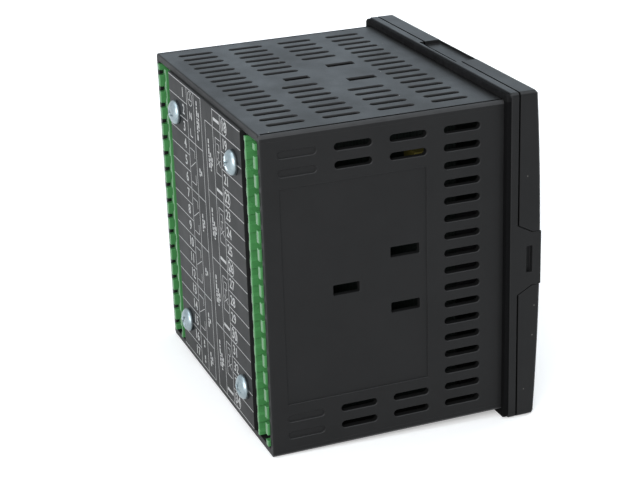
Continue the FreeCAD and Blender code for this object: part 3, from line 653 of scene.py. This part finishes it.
def board_lacquer(name):
    """Dark solder lacquer over copper: square cells of tracks stand out a little from the ground."""
    material = new_material(name)
    turned = shader(material, "Mapping", {"Vector": place_on(material), "Rotation": (0, np.pi / 2, 0)})
    tracks = shader(
        material, "TexBrick",
        {
            "Vector": turned.outputs[0], "Scale": 260.0, "Mortar Size": 0.05,
            "Color1": (0, 0, 0, 1), "Color2": (0.1, 0.1, 0.1, 1), "Mortar": WHITE,
        },
    ).outputs["Color"]
    tone = blended(material, tracks, LACQUER, TRACK)
    relief = shader(material, "Bump", {"Strength": 0.3, "Distance": 0.04 * MM, "Height": tracks})
    return surfaced(material, tone, rough=0.45, relief=relief, shine=0.15)


dress(board_lacquer("circuit_board"), "input_board", "output_board", "display_board")
black_epoxy = moulded_plastic("component_black", (0.012, 0.012, 0.013), rough=0.55)
dress(black_epoxy, "display_chip", "input_chip_1", "input_chip_2", "input_chip_3")
dress(black_epoxy, "display_socket_left", "display_socket_right", "board_plug_left", "board_plug_right")
relay_case = moulded_plastic("relay_grey", (0.020, 0.021, 0.024), rough=0.45)
# Painted shade: the capacitors' yellow is darkened to a dim olive for the shade they sit in.
shaded_film_case = moulded_plastic("film_yellow", (0.10, 0.085, 0.02), rough=0.4)
for place in range(1, 5):
    dress(relay_case, f"relay_{place}")
    dress(shaded_film_case, f"snubber_{place}")
    dress(black_epoxy, f"key_switch_{place}", f"key_plunger_{place}")
core_iron = banded_finish(
    "core_iron", (0.10, 0.095, 0.09), (0.05, 0.048, 0.045), pitch=0.5, rough=0.5, metal=0.8, axis="Y"
)
winding_copper = banded_finish(
    "winding_copper", (0.30, 0.14, 0.05), (0.18, 0.08, 0.03), pitch=0.6, rough=0.4, metal=0.3, axis="X"
)
can_aluminium = banded_finish(
    "can_aluminium", (0.55, 0.56, 0.58), (0.45, 0.46, 0.48), pitch=0.25, rough=0.35, metal=1.0, axis="X"
)
display_cell = banded_finish(
    "display_cell", (0.05, 0.06, 0.055), (0.06, 0.07, 0.065), pitch=0.4, rough=0.12, metal=0.0, axis="X"
)
backlight_white = banded_finish(
    "backlight_white", (0.75, 0.77, 0.75), (0.70, 0.72, 0.70), pitch=2.0, rough=0.3, metal=0.0, axis="X"
)
dress(core_iron, "transformer_core")
dress(winding_copper, "transformer_winding")
dress(can_aluminium, "smoothing_capacitor")
dress(display_cell, "display_glass")
dress(backlight_white, "display_backlight")

# Terminal headers: two rows of seventeen poles, moulded in green polyester and soldered to the upright
# boards. The outer wall of each shroud is cut into teeth that key the plug, the inner wall is a ridge with
# a shallow groove at each pole, and a tinned square pin stands in every pole.
HEADER_IN, HEADER_OUT = span("terminal_header_right", axis=0)
HEADER_WALL = 1.2
TOOTH_WALL = 1.7
HEADER_BACK = span("terminal_header_right", axis=1)[0]
HEADER_FLOOR = 61.4
HEADER_RIM = 70.6
POLE_PITCH = 5.08
POLES = 17
NOTCH_WIDTH = 1.65
NOTCH_DEPTH = 1.6
NOTCH_RAMP = 0.07
GROOVE_WIDTH = 2.4
GROOVE_DEPTH = 0.45
GROOVE_RAMP = 0.3
RIDGE_DIP = 0.12
RIM_ROUND = 0.2


def at_poles(along, width, ramp):
    """1 within a width about the middle of each pole, 0 outside it, with a short ramp between."""
    nearest = POLE_PITCH * np.round(along / POLE_PITCH)
    return np.clip((width / 2 + ramp - np.abs(along - nearest)) / (2 * ramp), 0, 1)


def header_surface(header, side):
    """U-shaped profile with rounded rims carried along the row; teeth and grooves follow the poles."""
    poles = POLE_PITCH * (np.arange(POLES) - (POLES - 1) / 2)
    notch = NOTCH_WIDTH / 2 + NOTCH_RAMP * np.array([-1, 1])
    groove = GROOVE_WIDTH / 2 + GROOVE_RAMP * np.array([-1, 1])
    steps = np.concatenate([notch, -notch, groove, -groove])
    length = POLES * POLE_PITCH / 2
    along = np.unique(np.concatenate([(poles[:, None] + steps).ravel(), [-length, length]]).round(5))
    rim = HEADER_RIM - NOTCH_DEPTH * at_poles(along, NOTCH_WIDTH, NOTCH_RAMP)
    grooved = at_poles(along, GROOVE_WIDTH, GROOVE_RAMP)
    ridge = HEADER_RIM - RIDGE_DIP * grooved
    face = HEADER_IN + HEADER_WALL - GROOVE_DEPTH * grooved
    flat = np.ones_like(along)

    def arc(x, y, start):
        """Quarter of a rounded rim about (x, y), from a start angle in degrees."""
        turn = np.radians(np.linspace(start, start + 90, 4))
        return [(x + RIM_ROUND * np.cos(t), y + RIM_ROUND * np.sin(t)) for t in turn]

    outline = [(HEADER_IN * flat, HEADER_BACK * flat), (HEADER_OUT * flat, HEADER_BACK * flat)]
    outline += arc((HEADER_OUT - RIM_ROUND) * flat, rim - RIM_ROUND, 0)
    outline += arc((HEADER_OUT - TOOTH_WALL + RIM_ROUND) * flat, rim - RIM_ROUND, 90)
    outline += [((HEADER_OUT - TOOTH_WALL) * flat, HEADER_FLOOR * flat), (face, HEADER_FLOOR * flat)]
    outline += arc(face - RIM_ROUND, ridge - RIM_ROUND, 0)
    outline += arc((HEADER_IN + RIM_ROUND) * flat, ridge - RIM_ROUND, 90)
    x, y = np.array(outline).transpose(1, 2, 0)
    rows = np.stack([side * x, y, np.broadcast_to(along[:, None], x.shape)], axis=-1)
    header.skin(rows)
    header.close(rows, axis=2)


green_polyester = moulded_plastic(
    "terminal_green", (0.051, 0.195, 0.061), rough=0.30, grain=0.1, worn=0.7, shine=0.5
)
tinned_pins = banded_finish(
    "tinned_pins", (0.60, 0.60, 0.57), (0.52, 0.52, 0.50), pitch=0.3, rough=0.3, metal=1.0, axis="Y"
)
for side, name in ((-1, "left"), (1, "right")):
    header = Moulding()
    header_surface(header, side)
    piece = header.finish("terminal_shroud_" + name, green_polyester)
    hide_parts("terminal_header_" + name)
    dress(tinned_pins, "header_pins_" + name)

# Rear plate: a flat dark grey sheet laid on the case's rear partition and held by the screws, with painted
# light on its upper and lower edges. A white terminal plan is screen printed on it: a ruled box for each
# pole with its number, contact and input signs, and columns of short dashes.
PLATE_FACE = span("rear_plate", axis=1)[1]
PLATE_END = span("rear_plate", axis=2)[1]
PLATE_COLOUR = (0.0102, 0.0102, 0.0106)
PLATE_EDGE_LIGHT_COLOUR = (0.030, 0.030, 0.031)
EDGE_REACH = 0.03
INK = 0.03
INK_TONE = 0.50
LINE = 0.19
PLAN_TOP = 43.2
PLAN_MARGIN = 0.1
PLAN_HALF = span("rear_plate", axis=0)[1] - PLAN_MARGIN
ROW_LINES = PLAN_TOP - POLE_PITCH * np.arange(POLES + 1)
ROW_MIDDLES = ROW_LINES[:-1] - POLE_PITCH / 2
RIGHT_COLUMNS = (14.8, 8.25, 1.7)
LEFT_COLUMNS = (-1.75, -8.6, -15.2)
RIGHT_GROUPS = ROW_LINES[[0, 3, 6, 9, 12, 15, 17]]
LEFT_GROUPS = ROW_LINES[[1, 5, 9, 13, 17]]
NUMBERS = 18.5
NUMERAL_SIZE = 4.1
NUMERAL_WEIGHT = 0.04
SIGNS = 11.5
EARTH_RING = 2.1
NUMBER_RING = 2.35
LETTER_WIDTH = 0.35
BAR_WIDTH = 0.85
DASH_WIDTH = 0.8
DASH_GAP = 0.35
DASH_LENGTHS = np.resize([1.3, 0.7, 1.8, 0.5, 1.0], 12)
LAST_DASHES = 2.6
RIGHT_DASHES = (5.6, 4.2)
RIGHT_DASH_RUNS = (12.0, 3.4, 5.8, 3.4, 4.6, 5.2)
LEFT_DASHES = ((-4.0, 1.0, 8.6), (-5.4, -1.2, 6.0), (-6.6, -0.8, 3.4))


def cut_edges(material):
    """Painted light: paler on the plate's upper and lower edge, where Z is at its greatest distance from the
    middle.
    """
    edge = within(material, from_middle(material)[2], PLATE_END - EDGE_REACH, PLATE_END + EDGE_REACH)
    overlay(material, edge, PLATE_EDGE_LIGHT_COLOUR)


plate_plastic = moulded_plastic("plate_plastic", PLATE_COLOUR, rough=0.5, grain=0.2, specks=0.4)
cut_edges(plate_plastic)
dress(plate_plastic, "rear_plate")


def ribbons(plan, strokes, z=0.0, width=LINE):
    """Strokes of ink from (x, z) to (x, z), moved up by z, widened to both sides and given a thickness."""
    start, end = (np.array(strokes, dtype=float).reshape(-1, 2, 2) + (0, z)).transpose(1, 0, 2)
    along = (end - start) / np.linalg.norm(end - start, axis=1, keepdims=True)
    aside = np.stack([-along[:, 1], along[:, 0]], axis=-1) * width / 2
    corner = np.stack([start - aside, end - aside, end + aside, start + aside], axis=1)
    layers = [np.insert(corner, 1, level, axis=2) for level in (PLATE_FACE, PLATE_FACE + INK)]
    quads = [[0, 1, 2, 3], [4, 7, 6, 5], [0, 4, 5, 1], [1, 5, 6, 2], [2, 6, 7, 3], [3, 7, 4, 0]]
    faces = 8 * np.arange(len(corner))[:, None, None] + quads
    plan.add(np.concatenate(layers, axis=1), faces.reshape(-1, 4))


def ruled(plan, columns, top, bottom):
    """Upright lines at some columns, from one row line to another."""
    ribbons(plan, [[(x, top), (x, bottom)] for x in columns])


def crossed(plan, start, end, rows):
    """Level lines from one column to another, at some row lines."""
    ribbons(plan, [[(start, z), (end, z)] for z in rows])


def ring(plan, x, z, radius, steps=28):
    """Circle of ink: a small square section carried once around."""
    turn = np.linspace(0, 2 * np.pi, steps, endpoint=False)
    section = LINE / 2 * np.array([1, 1, -1, -1, 1])
    rises = INK * np.array([0, 1, 1, 0, 0])
    rows = []
    for reach, rise in zip(radius + section, rises):
        level = np.full(steps, PLATE_FACE + rise)
        rows.append(np.column_stack([x + reach * np.cos(turn), level, z + reach * np.sin(turn)]))
    plan.skin(rows)


def number(plan, text, x, z):
    """Plain numeral read from the rear, so its own right runs towards -X and its up towards +Z."""
    curve = bpy.data.curves.new("numeral", "FONT")
    curve.body = text
    curve.size = NUMERAL_SIZE
    curve.align_x = "CENTER"
    curve.align_y = "CENTER"
    curve.extrude = INK / 2
    curve.offset = NUMERAL_WEIGHT
    curve.resolution_u = 3
    holder = bpy.data.objects.new("numeral", curve)
    mesh = bpy.data.meshes.new_from_object(holder)
    mesh.calc_loop_triangles()
    flat = np.empty(3 * len(mesh.vertices))
    mesh.vertices.foreach_get("co", flat)
    faces = np.empty(3 * len(mesh.loop_triangles), dtype=int)
    mesh.loop_triangles.foreach_get("vertices", faces)
    across, upright, rise = flat.reshape(-1, 3).T
    plan.add(np.column_stack([x - across, PLATE_FACE + INK / 2 + rise, z + upright]), faces.reshape(-1, 3))
    bpy.data.objects.remove(holder)
    bpy.data.curves.remove(curve)
    bpy.data.meshes.remove(mesh)


def dashes(plan, x, z, long):
    """Column of dashes of uneven length, one after another down the plate, centred on z."""
    steps = DASH_LENGTHS + DASH_GAP
    ends = np.cumsum(steps)
    ends = ends[ends <= long + DASH_GAP]
    top = z + ends[-1] / 2
    strokes = [[(x, top - end + step), (x, top - end + DASH_GAP)] for end, step in zip(ends, steps)]
    ribbons(plan, strokes, width=DASH_WIDTH)


def worn_ink(name, tone):
    """Screen ink: pale, slightly uneven in tone where the plastic shows through."""
    material = new_material(name)
    thin = noise(material, scale=1400.0, detail=3.0)
    uneven = carried(material, thin, start=0.3, end=0.75, low=tone * 1.1, high=tone * 0.75)
    return surfaced(material, uneven, rough=0.6)


# Signs as strokes from (x, z) to (x, z), with z counted from the middle of their pole
EARTH_SIGN = [[(13.0, -0.5), (10.0, -0.5)], [(SIGNS, -0.5), (SIGNS, 1.5)]]
NEUTRAL_SIGN = [[(12.6, 1.1), (12.6, -1.1)], [(12.6, 1.1), (10.8, -1.1)], [(10.8, -1.1), (10.8, 1.1)]]
LIVE_SIGN = [[(12.6, 1.1), (12.6, -1.1)], [(12.6, -1.1), (10.6, -1.1)]]
CONTACT_SIGN = [
    [(14.0, POLE_PITCH), (9.9, POLE_PITCH)], [(9.9, POLE_PITCH), (9.9, POLE_PITCH - 2.2)],
    [(14.0, -0.6), (9.3, 2.1)],
    [(14.0, -POLE_PITCH), (9.9, -POLE_PITCH)], [(9.9, -POLE_PITCH), (9.9, 3.0 - POLE_PITCH)],
]
BAR_SIGN = [[(-9.4, 0.0), (-14.4, 0.0)]]
INPUT_SIGN = [
    [(-14.4, POLE_PITCH), (-10.4, POLE_PITCH)], [(-10.4, POLE_PITCH), (-10.4, -POLE_PITCH)],
    [(-10.4, -POLE_PITCH), (-14.4, -POLE_PITCH)],
    [(-11.6, 3.6), (-13.4, 3.6)], [(-13.4, 3.6), (-13.4, 1.4)], [(-13.4, 1.4), (-11.6, 1.4)],
    [(-12.5, 1.4), (-12.5, -0.6)], [(-14.2, -0.6), (-11.2, -2.6)], [(-11.2, -0.6), (-14.2, -2.6)],
]

plan = Moulding()
top, bottom = ROW_LINES[0], ROW_LINES[-1]
crossed(plan, PLAN_HALF, RIGHT_COLUMNS[0], ROW_LINES)
crossed(plan, RIGHT_COLUMNS[0], RIGHT_COLUMNS[2], RIGHT_GROUPS)
ruled(plan, RIGHT_COLUMNS, top, bottom)
crossed(plan, LEFT_COLUMNS[2], -PLAN_HALF, ROW_LINES)
crossed(plan, LEFT_COLUMNS[0], LEFT_COLUMNS[2], LEFT_GROUPS)
crossed(plan, LEFT_COLUMNS[1], LEFT_COLUMNS[2], [top])
ruled(plan, LEFT_COLUMNS[1:], top, bottom)
ruled(plan, LEFT_COLUMNS[:1], LEFT_GROUPS[0], bottom)
for row, z in enumerate(ROW_MIDDLES, 1):
    number(plan, str(row), NUMBERS, z)
    number(plan, str(row + POLES), -NUMBERS, z)

# The first three poles on the right have an earth sign in a ring and two letters
ring(plan, SIGNS, ROW_MIDDLES[0], EARTH_RING)
ribbons(plan, EARTH_SIGN, ROW_MIDDLES[0])
ribbons(plan, NEUTRAL_SIGN, ROW_MIDDLES[1], LETTER_WIDTH)
ribbons(plan, LIVE_SIGN, ROW_MIDDLES[2], LETTER_WIDTH)

# A changeover contact for each group of three poles on the right, and dashes beside the last two poles
for z in ROW_MIDDLES[4:15:3]:
    ribbons(plan, CONTACT_SIGN, z)
for z in ROW_MIDDLES[15:]:
    dashes(plan, SIGNS, z, LAST_DASHES)

# A ringed number with a thick bar, then an input sign, for each group of four poles on the left
for z in ROW_MIDDLES[::4]:
    ring(plan, -NUMBERS, z, NUMBER_RING)
    ribbons(plan, BAR_SIGN, z, BAR_WIDTH)
for z in ROW_MIDDLES[2:15:4]:
    ribbons(plan, INPUT_SIGN, z)

for z, long in zip((RIGHT_GROUPS[:-1] + RIGHT_GROUPS[1:]) / 2, RIGHT_DASH_RUNS):
    for x, share in zip(RIGHT_DASHES, (1, 0.5)):
        dashes(plan, x, z, share * long)
for z in (LEFT_GROUPS[:-1] + LEFT_GROUPS[1:]) / 2:
    for x, above, long in LEFT_DASHES:
        dashes(plan, x, z + above, long)
print_piece = plan.finish("plate_print", worn_ink("plan_ink", INK_TONE))

# Rear screws: four zinc-plated thread-forming screws with domed pan heads and a cross recess, driven
# through the plate into the posts behind the partition.
HEAD_RADIUS = 3.52
HEAD_RIM = 0.55
HEAD_DOME = 1.83
DOME_STEPS = 46
STEP_SPREAD = 0.8
DOME_FULLNESS = 2.3
RIM_TURN = 0.1
SHANK_RADIUS = 1.6
SHANK_END = span("rear_screws", axis=1)[0]
TIP_RADIUS = 0.9
TIP_LENGTH = 0.3
TAPER_LENGTH = 1.4
END_RADIUS = 0.02
RECESS_DEEP = 1.25
RECESS_RISE = 0.25
ARM_HALF = 0.62
ARM_TAPER = 0.12
ARM_SLOPE = 0.16
ARM_REACH = 2.3
ARM_RUNOUT = 0.5
SCREW_TURNS = ((-1, -1, 0.35), (-1, 1, 1.1), (1, -1, 0.7), (1, 1, 0.15))
ZINC_DARK = (0.219, 0.279, 0.30, 1)
ZINC_PALE = (0.405, 0.46, 0.484, 1)


def screw_surface(screws, x, z, turn, around=72):
    """Surface of revolution, tip to crown; a cross with tapering arms lowers the dome."""
    angle = np.linspace(0, 2 * np.pi, around, endpoint=False)
    shank = [(END_RADIUS, SHANK_END), (TIP_RADIUS, SHANK_END + TIP_LENGTH)]
    shank += [(SHANK_RADIUS, SHANK_END + TAPER_LENGTH), (SHANK_RADIUS, PLATE_FACE)]
    rim = [(HEAD_RADIUS - RIM_TURN, PLATE_FACE), (HEAD_RADIUS, PLATE_FACE + RIM_TURN)]
    radius = HEAD_RADIUS * np.cos(np.linspace(0, np.pi / 2, DOME_STEPS)) ** STEP_SPREAD
    radius[-1] = END_RADIUS
    bowed = np.sqrt(np.clip(1 - (radius / HEAD_RADIUS) ** DOME_FULLNESS, 0, 1))
    dome = PLATE_FACE + HEAD_RIM + HEAD_DOME * bowed
    profile = np.array(shank + rim + list(zip(radius, dome)))
    r, y = np.repeat(profile.T[:, :, None], around, axis=2)
    narrow = np.minimum(np.abs(r * np.cos(angle - turn)), np.abs(r * np.sin(angle - turn)))
    cut = np.clip((ARM_HALF - ARM_TAPER * r - narrow) / ARM_SLOPE, 0, 1)
    cut *= np.clip((ARM_REACH - r) / ARM_RUNOUT, 0, 1) * (1 - RECESS_RISE * r)
    cut[:len(shank + rim)] = 0
    y = y - RECESS_DEEP * np.clip(cut, 0, 1)
    rows = np.stack([x + r * np.cos(angle), y, z + r * np.sin(angle)], axis=-1)
    screws.skin(rows)
    screws.close(rows, axis=1)


def zinc_plate(name):
    """Bright zinc with a faint blue passivation, clouded and a little scratched by tumbling."""
    material = new_material(name)
    cloud = noise(material, scale=900.0, detail=4.0)
    tone = blended(material, cloud, ZINC_DARK, ZINC_PALE)
    satin = carried(material, cloud, start=0.3, end=0.7, low=0.30, high=0.48)
    relief = shader(material, "Bump", {"Strength": 0.5, "Distance": 0.1 * MM, "Height": cloud})
    return surfaced(material, tone, satin, relief, metal=1.0)


screws = Moulding()
for across, upright, turn in SCREW_TURNS:
    screw_surface(screws, across * SCREW_ACROSS, upright * SCREW_UPRIGHT, turn)
screw_piece = screws.finish("plate_screws", zinc_plate("zinc_steel"), smooth=50)
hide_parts("rear_screws")

# Panel seal: a ring of black rubber stamped from sheet, laid loose on the flange's rear face around the case
# until the panel presses it flat. Its outer edge covers the flange's chamfer; its upper run is unevenly
# paler.
SEAL_INNER = 45.9
SEAL_OUTER = 47.85
SEAL_STEP = 47.6
SEAL_THICK = 1.1
SEAL_LAP = 0.2
SEAL_UNDER = -0.02
STEP_SLOPE = 0.05
OUTER_ROUND = 0.25
OUTER_MIDWAY = 0.07
INNER_CHAMFER = 0.15
SEAL_CORNER = 0.85
CORNER_GROWTH = 0.3
WAVES = ((0.05, 8, 0.0), (0.03, 20, 1.0))
SEAL_COLOUR = (0.0034, 0.0034, 0.0036)
PALE_SHORT = 0.1


def seal_surface(seal, straight_steps=40):
    """Section carried around a rounded square; its rear face rises and falls by two slow waves."""
    section = [
        (SEAL_INNER, SEAL_UNDER), (SEAL_STEP, SEAL_UNDER),
        (SEAL_OUTER - STEP_SLOPE, -SEAL_LAP), (SEAL_OUTER, -SEAL_LAP),
        (SEAL_OUTER, SEAL_THICK - OUTER_ROUND), (SEAL_OUTER - OUTER_MIDWAY, SEAL_THICK - OUTER_MIDWAY),
        (SEAL_OUTER - OUTER_ROUND, SEAL_THICK), (SEAL_INNER + INNER_CHAMFER, SEAL_THICK),
        (SEAL_INNER, SEAL_THICK - INNER_CHAMFER), (SEAL_INNER, SEAL_UNDER),
    ]
    corners = np.arange(24)
    runs = [end + np.linspace(0, 1, straight_steps + 1)[1:-1] for end in corners[5::6]]
    stations = np.sort(np.concatenate([corners, *runs]))
    turn = 2 * np.pi * stations / len(corners)
    wave = sum(rise * np.sin(times * turn + start) for rise, times, start in WAVES)
    rows = []
    for half, y in section:
        loop = rounded_loop((0, 0), (half, half), SEAL_CORNER + CORNER_GROWTH * (half - SEAL_INNER))
        closed = np.concatenate([loop, loop[:1]])
        x, z = (np.interp(stations, np.arange(len(closed)), closed[:, axis]) for axis in (0, 1))
        rows.append(np.column_stack([x, y + wave * (y > SEAL_THICK / 2), z]))
    seal.skin(rows)


def settled_dust(material):
    """Paler, unevenly, on the seal's upper run, short of its outer edge."""
    upright = parted(material, place_on(material))["Z"]
    upper_run = within(material, upright, CASE_HALF, SEAL_OUTER - PALE_SHORT)
    cloud = noise(material, scale=350.0, detail=3.0)
    drift = carried(material, cloud, start=0.3, end=0.7, low=0.06, high=0.24)
    overlay(material, product(material, upper_run, drift), PALER_COLOUR)


seal = Moulding()
seal_surface(seal)
seal_rubber = moulded_plastic(
    "seal_rubber", SEAL_COLOUR, rough=0.85, grain=0.5, worn=0.0, specks=0.25, shine=0.04
)
settled_dust(seal_rubber)
seal_piece = seal.finish("panel_seal", seal_rubber, smooth=40)

# Front: the flange with its collar and side tabs, and the bowed cover clipped over it, are moulded in the
# same plastic as the case, with a painted highlight along their edges. The joint between them is a dark
# line, partly painted shade, which also crosses the two grip recesses.
FRONT_EDGE = 47.35
FRONT_HIGHLIGHT_COLOUR = (0.030, 0.030, 0.031)
FRONT_PAST = 50.0
JOINT_FRONT = -2.9
JOINT_REAR = -2.4
JOINT_LIP = 0.04
JOINT_FLOOR = 46.9
JOINT_TOP = 47.65
JOINT_END = 47.0
JOINT_SHADOW_COLOUR = (0.0012, 0.0012, 0.0013)
GRIP_HALF = 12.3
GRIP_FLOOR = 46.95
GRIP_LINE = 0.03
GRIP_LINE_FRONT = JOINT_FRONT - 0.1
GRIP_LINE_REAR = JOINT_REAR + 0.05
GRIP_CLEAR = 0.05
TAB_HALF = 10.8
SLANT = np.array([[2.4, 10.41], [7.0, 7.91]])
SLANT_HALF = 0.15


def joint_line(material, low, high):
    """Blackens a moulding between two depths along Y, where light sinks into its joint."""
    depth = parted(material, place_on(material))["Y"]
    overlay(material, within(material, depth, low, high), SHADOW_BLACK, rough=1.0)


def slanted_joint(material):
    """Painted shade: blackens both lips of the slanted joint beside each side tab, a straight line in folded
    Y and Z.
    """
    run = SLANT[1] - SLANT[0]
    square = np.array([-run[1], run[0]]) / np.hypot(*run)
    middle = square @ SLANT[0]
    folded = worked_vector(material, "ABSOLUTE", place_on(material)).outputs[0]
    away = worked_vector(material, "DOT_PRODUCT", folded, (0, *square)).outputs["Value"]
    part = parted(material, folded)
    line = product(
        material,
        within(material, away, middle - SLANT_HALF, middle + SLANT_HALF),
        within(material, part["Y"], SLANT[0][0], SLANT[1][0]),
        within(material, part["X"], JOINT_TOP, FRONT_PAST),
    )
    overlay(material, line, SHADOW_BLACK, rough=1.0)


frame_plastic = moulded_plastic("frame_plastic", CASE_COLOUR, rough=0.5, specks=0.3)
cover_plastic = moulded_plastic("cover_plastic", CASE_COLOUR, rough=0.5, specks=0.3)
# Painted highlight along the front's long edges and painted shade on the slanted joints' lips.
for plastic in (frame_plastic, cover_plastic):
    rubbed_edges(plastic, FRONT_EDGE, FRONT_HIGHLIGHT_COLOUR)
    slanted_joint(plastic)
joint_line(cover_plastic, JOINT_FRONT - JOINT_LIP, JOINT_REAR)
dress(frame_plastic, "front_frame")
dress(cover_plastic, "front_cover")

# Painted shade: black strips without shine, sunk in the joint's groove and laid across the grip recesses,
# stand for the shade in the joint.
joint = Moulding()
front, rear = JOINT_FRONT + HAIR, JOINT_REAR - HAIR
joint.mirrored(
    (-GRIP_HALF, GRIP_LINE_FRONT, JOINT_FLOOR),
    (GRIP_HALF, GRIP_LINE_REAR, GRIP_FLOOR + GRIP_LINE),
    across=(1,),
)
joint.mirrored((GRIP_HALF + GRIP_CLEAR, front, JOINT_FLOOR), (JOINT_END, rear, JOINT_TOP))
joint.mirrored((JOINT_FLOOR, front, TAB_HALF), (JOINT_TOP, rear, JOINT_END))
joint_shadow = moulded_plastic("joint_shadow", JOINT_SHADOW_COLOUR, rough=0.9, worn=0.0, shine=0.0)
joint_piece = joint.finish("joint_lines", joint_shadow)

# Window: a smoked acrylic pane let in flush with the cover, polished on both faces, glued behind its edge.
# The display cell behind it shows as a slightly paler field.
PANE_MIDDLE = np.mean(span("display_window", axis=2))
CELL_HALF = (34.5, 21.5)
CELL_BLUR = 0.1
PANE_COLOUR = (0.004, 0.004, 0.005, 1)
CELL_COLOUR = (0.021, 0.024, 0.022, 1)


def smoked_pane(name):
    """Polished dark acrylic with finger smears, paler where the display cell lies behind."""
    material = new_material(name)
    centred = worked_vector(material, "SUBTRACT", place_on(material), (0, 0, PANE_MIDDLE * MM)).outputs[0]
    part = parted(material, worked_vector(material, "ABSOLUTE", centred).outputs[0])
    past = [worked_out(material, "SUBTRACT", part[axis], half * MM) for axis, half in zip("XZ", CELL_HALF)]
    edge = worked_out(material, "MAXIMUM", *past)
    cell = carried(material, edge, -CELL_BLUR * MM, CELL_BLUR * MM, low=1, high=0)
    smear = noise(material, scale=60.0, detail=5.0, distortion=0.6)
    satin = carried(material, smear, start=0.35, end=0.75, low=0.05, high=0.16)
    tone = blended(material, cell, PANE_COLOUR, CELL_COLOUR)
    return surfaced(material, tone, satin, shine=0.4)


dress(smoked_pane("window_smoke"), "display_window")

# Keys: four caps of mid grey plastic in a row below the window, each a moulding with a domed face, a flange
# that holds it behind the cover and a stem that rests on its switch. Pressed, it sinks from a little proud.
KEY_DROP = np.mean(span("key_1", axis=2))
KEY_FACE = span("key_1", axis=1)[0]
KEY_COLOUR = (0.075, 0.075, 0.079)
CAP_HALF = (7.0, 4.0)
CAP_ROUND = 0.9
CAP_EDGE = 0.5
CAP_BULGE = 0.3
FLANGE_HALF = [np.ptp(span("key_1", axis)) / 2 for axis in (0, 2)]
FLANGE_FRONT = -7.0
FLANGE_REAR = -6.0
STEM_HALF = (2.0, 2.0)
STEM_ROUND = 0.25
STEM_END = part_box("key_1")[1][1] / MM


def key_surface(key, x):
    """Rounded rectangles from the stem forward: stem, flange, cap, its rounded edge, rings on a dome."""
    rim = KEY_FACE + CAP_BULGE
    turn = np.radians(np.linspace(0, 90, 5))
    stages = [(STEM_HALF, STEM_ROUND, 0, STEM_END), (STEM_HALF, STEM_ROUND, 0, FLANGE_REAR)]
    stages += [(FLANGE_HALF, STEM_ROUND, 0, FLANGE_REAR), (FLANGE_HALF, STEM_ROUND, 0, FLANGE_FRONT)]
    stages += [(CAP_HALF, CAP_ROUND, 0, FLANGE_FRONT)]
    steps = zip(CAP_EDGE * (np.cos(turn) - 1), rim + CAP_EDGE * (1 - np.sin(turn)))
    stages += [(CAP_HALF, CAP_ROUND, *step) for step in steps]
    rows = []
    for half, radius, grow, depth in stages:
        rows.append(np.insert(rounded_loop((x, KEY_DROP), half, radius, grow), 1, depth, axis=1))
    middle = np.array([x, rim, KEY_DROP])
    for share in np.linspace(1, 0.1, 10)[1:]:
        drawn = middle + share * (rows[len(stages) - 1] - middle)
        drawn[:, 1] = rim - CAP_BULGE * (1 - share**2)
        rows.append(drawn)
    key.skin(rows)
    key.close(rows, axis=1)


key_plastic = moulded_plastic("key_plastic", KEY_COLOUR, rough=0.55)
for place in range(1, 5):
    key = Moulding()
    key_surface(key, np.mean(span(f"key_{place}", axis=0)))
    piece = key.finish(f"key_cap_{place}", key_plastic, body=f"key_body_{place}", smooth=35)
    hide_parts(f"key_{place}")
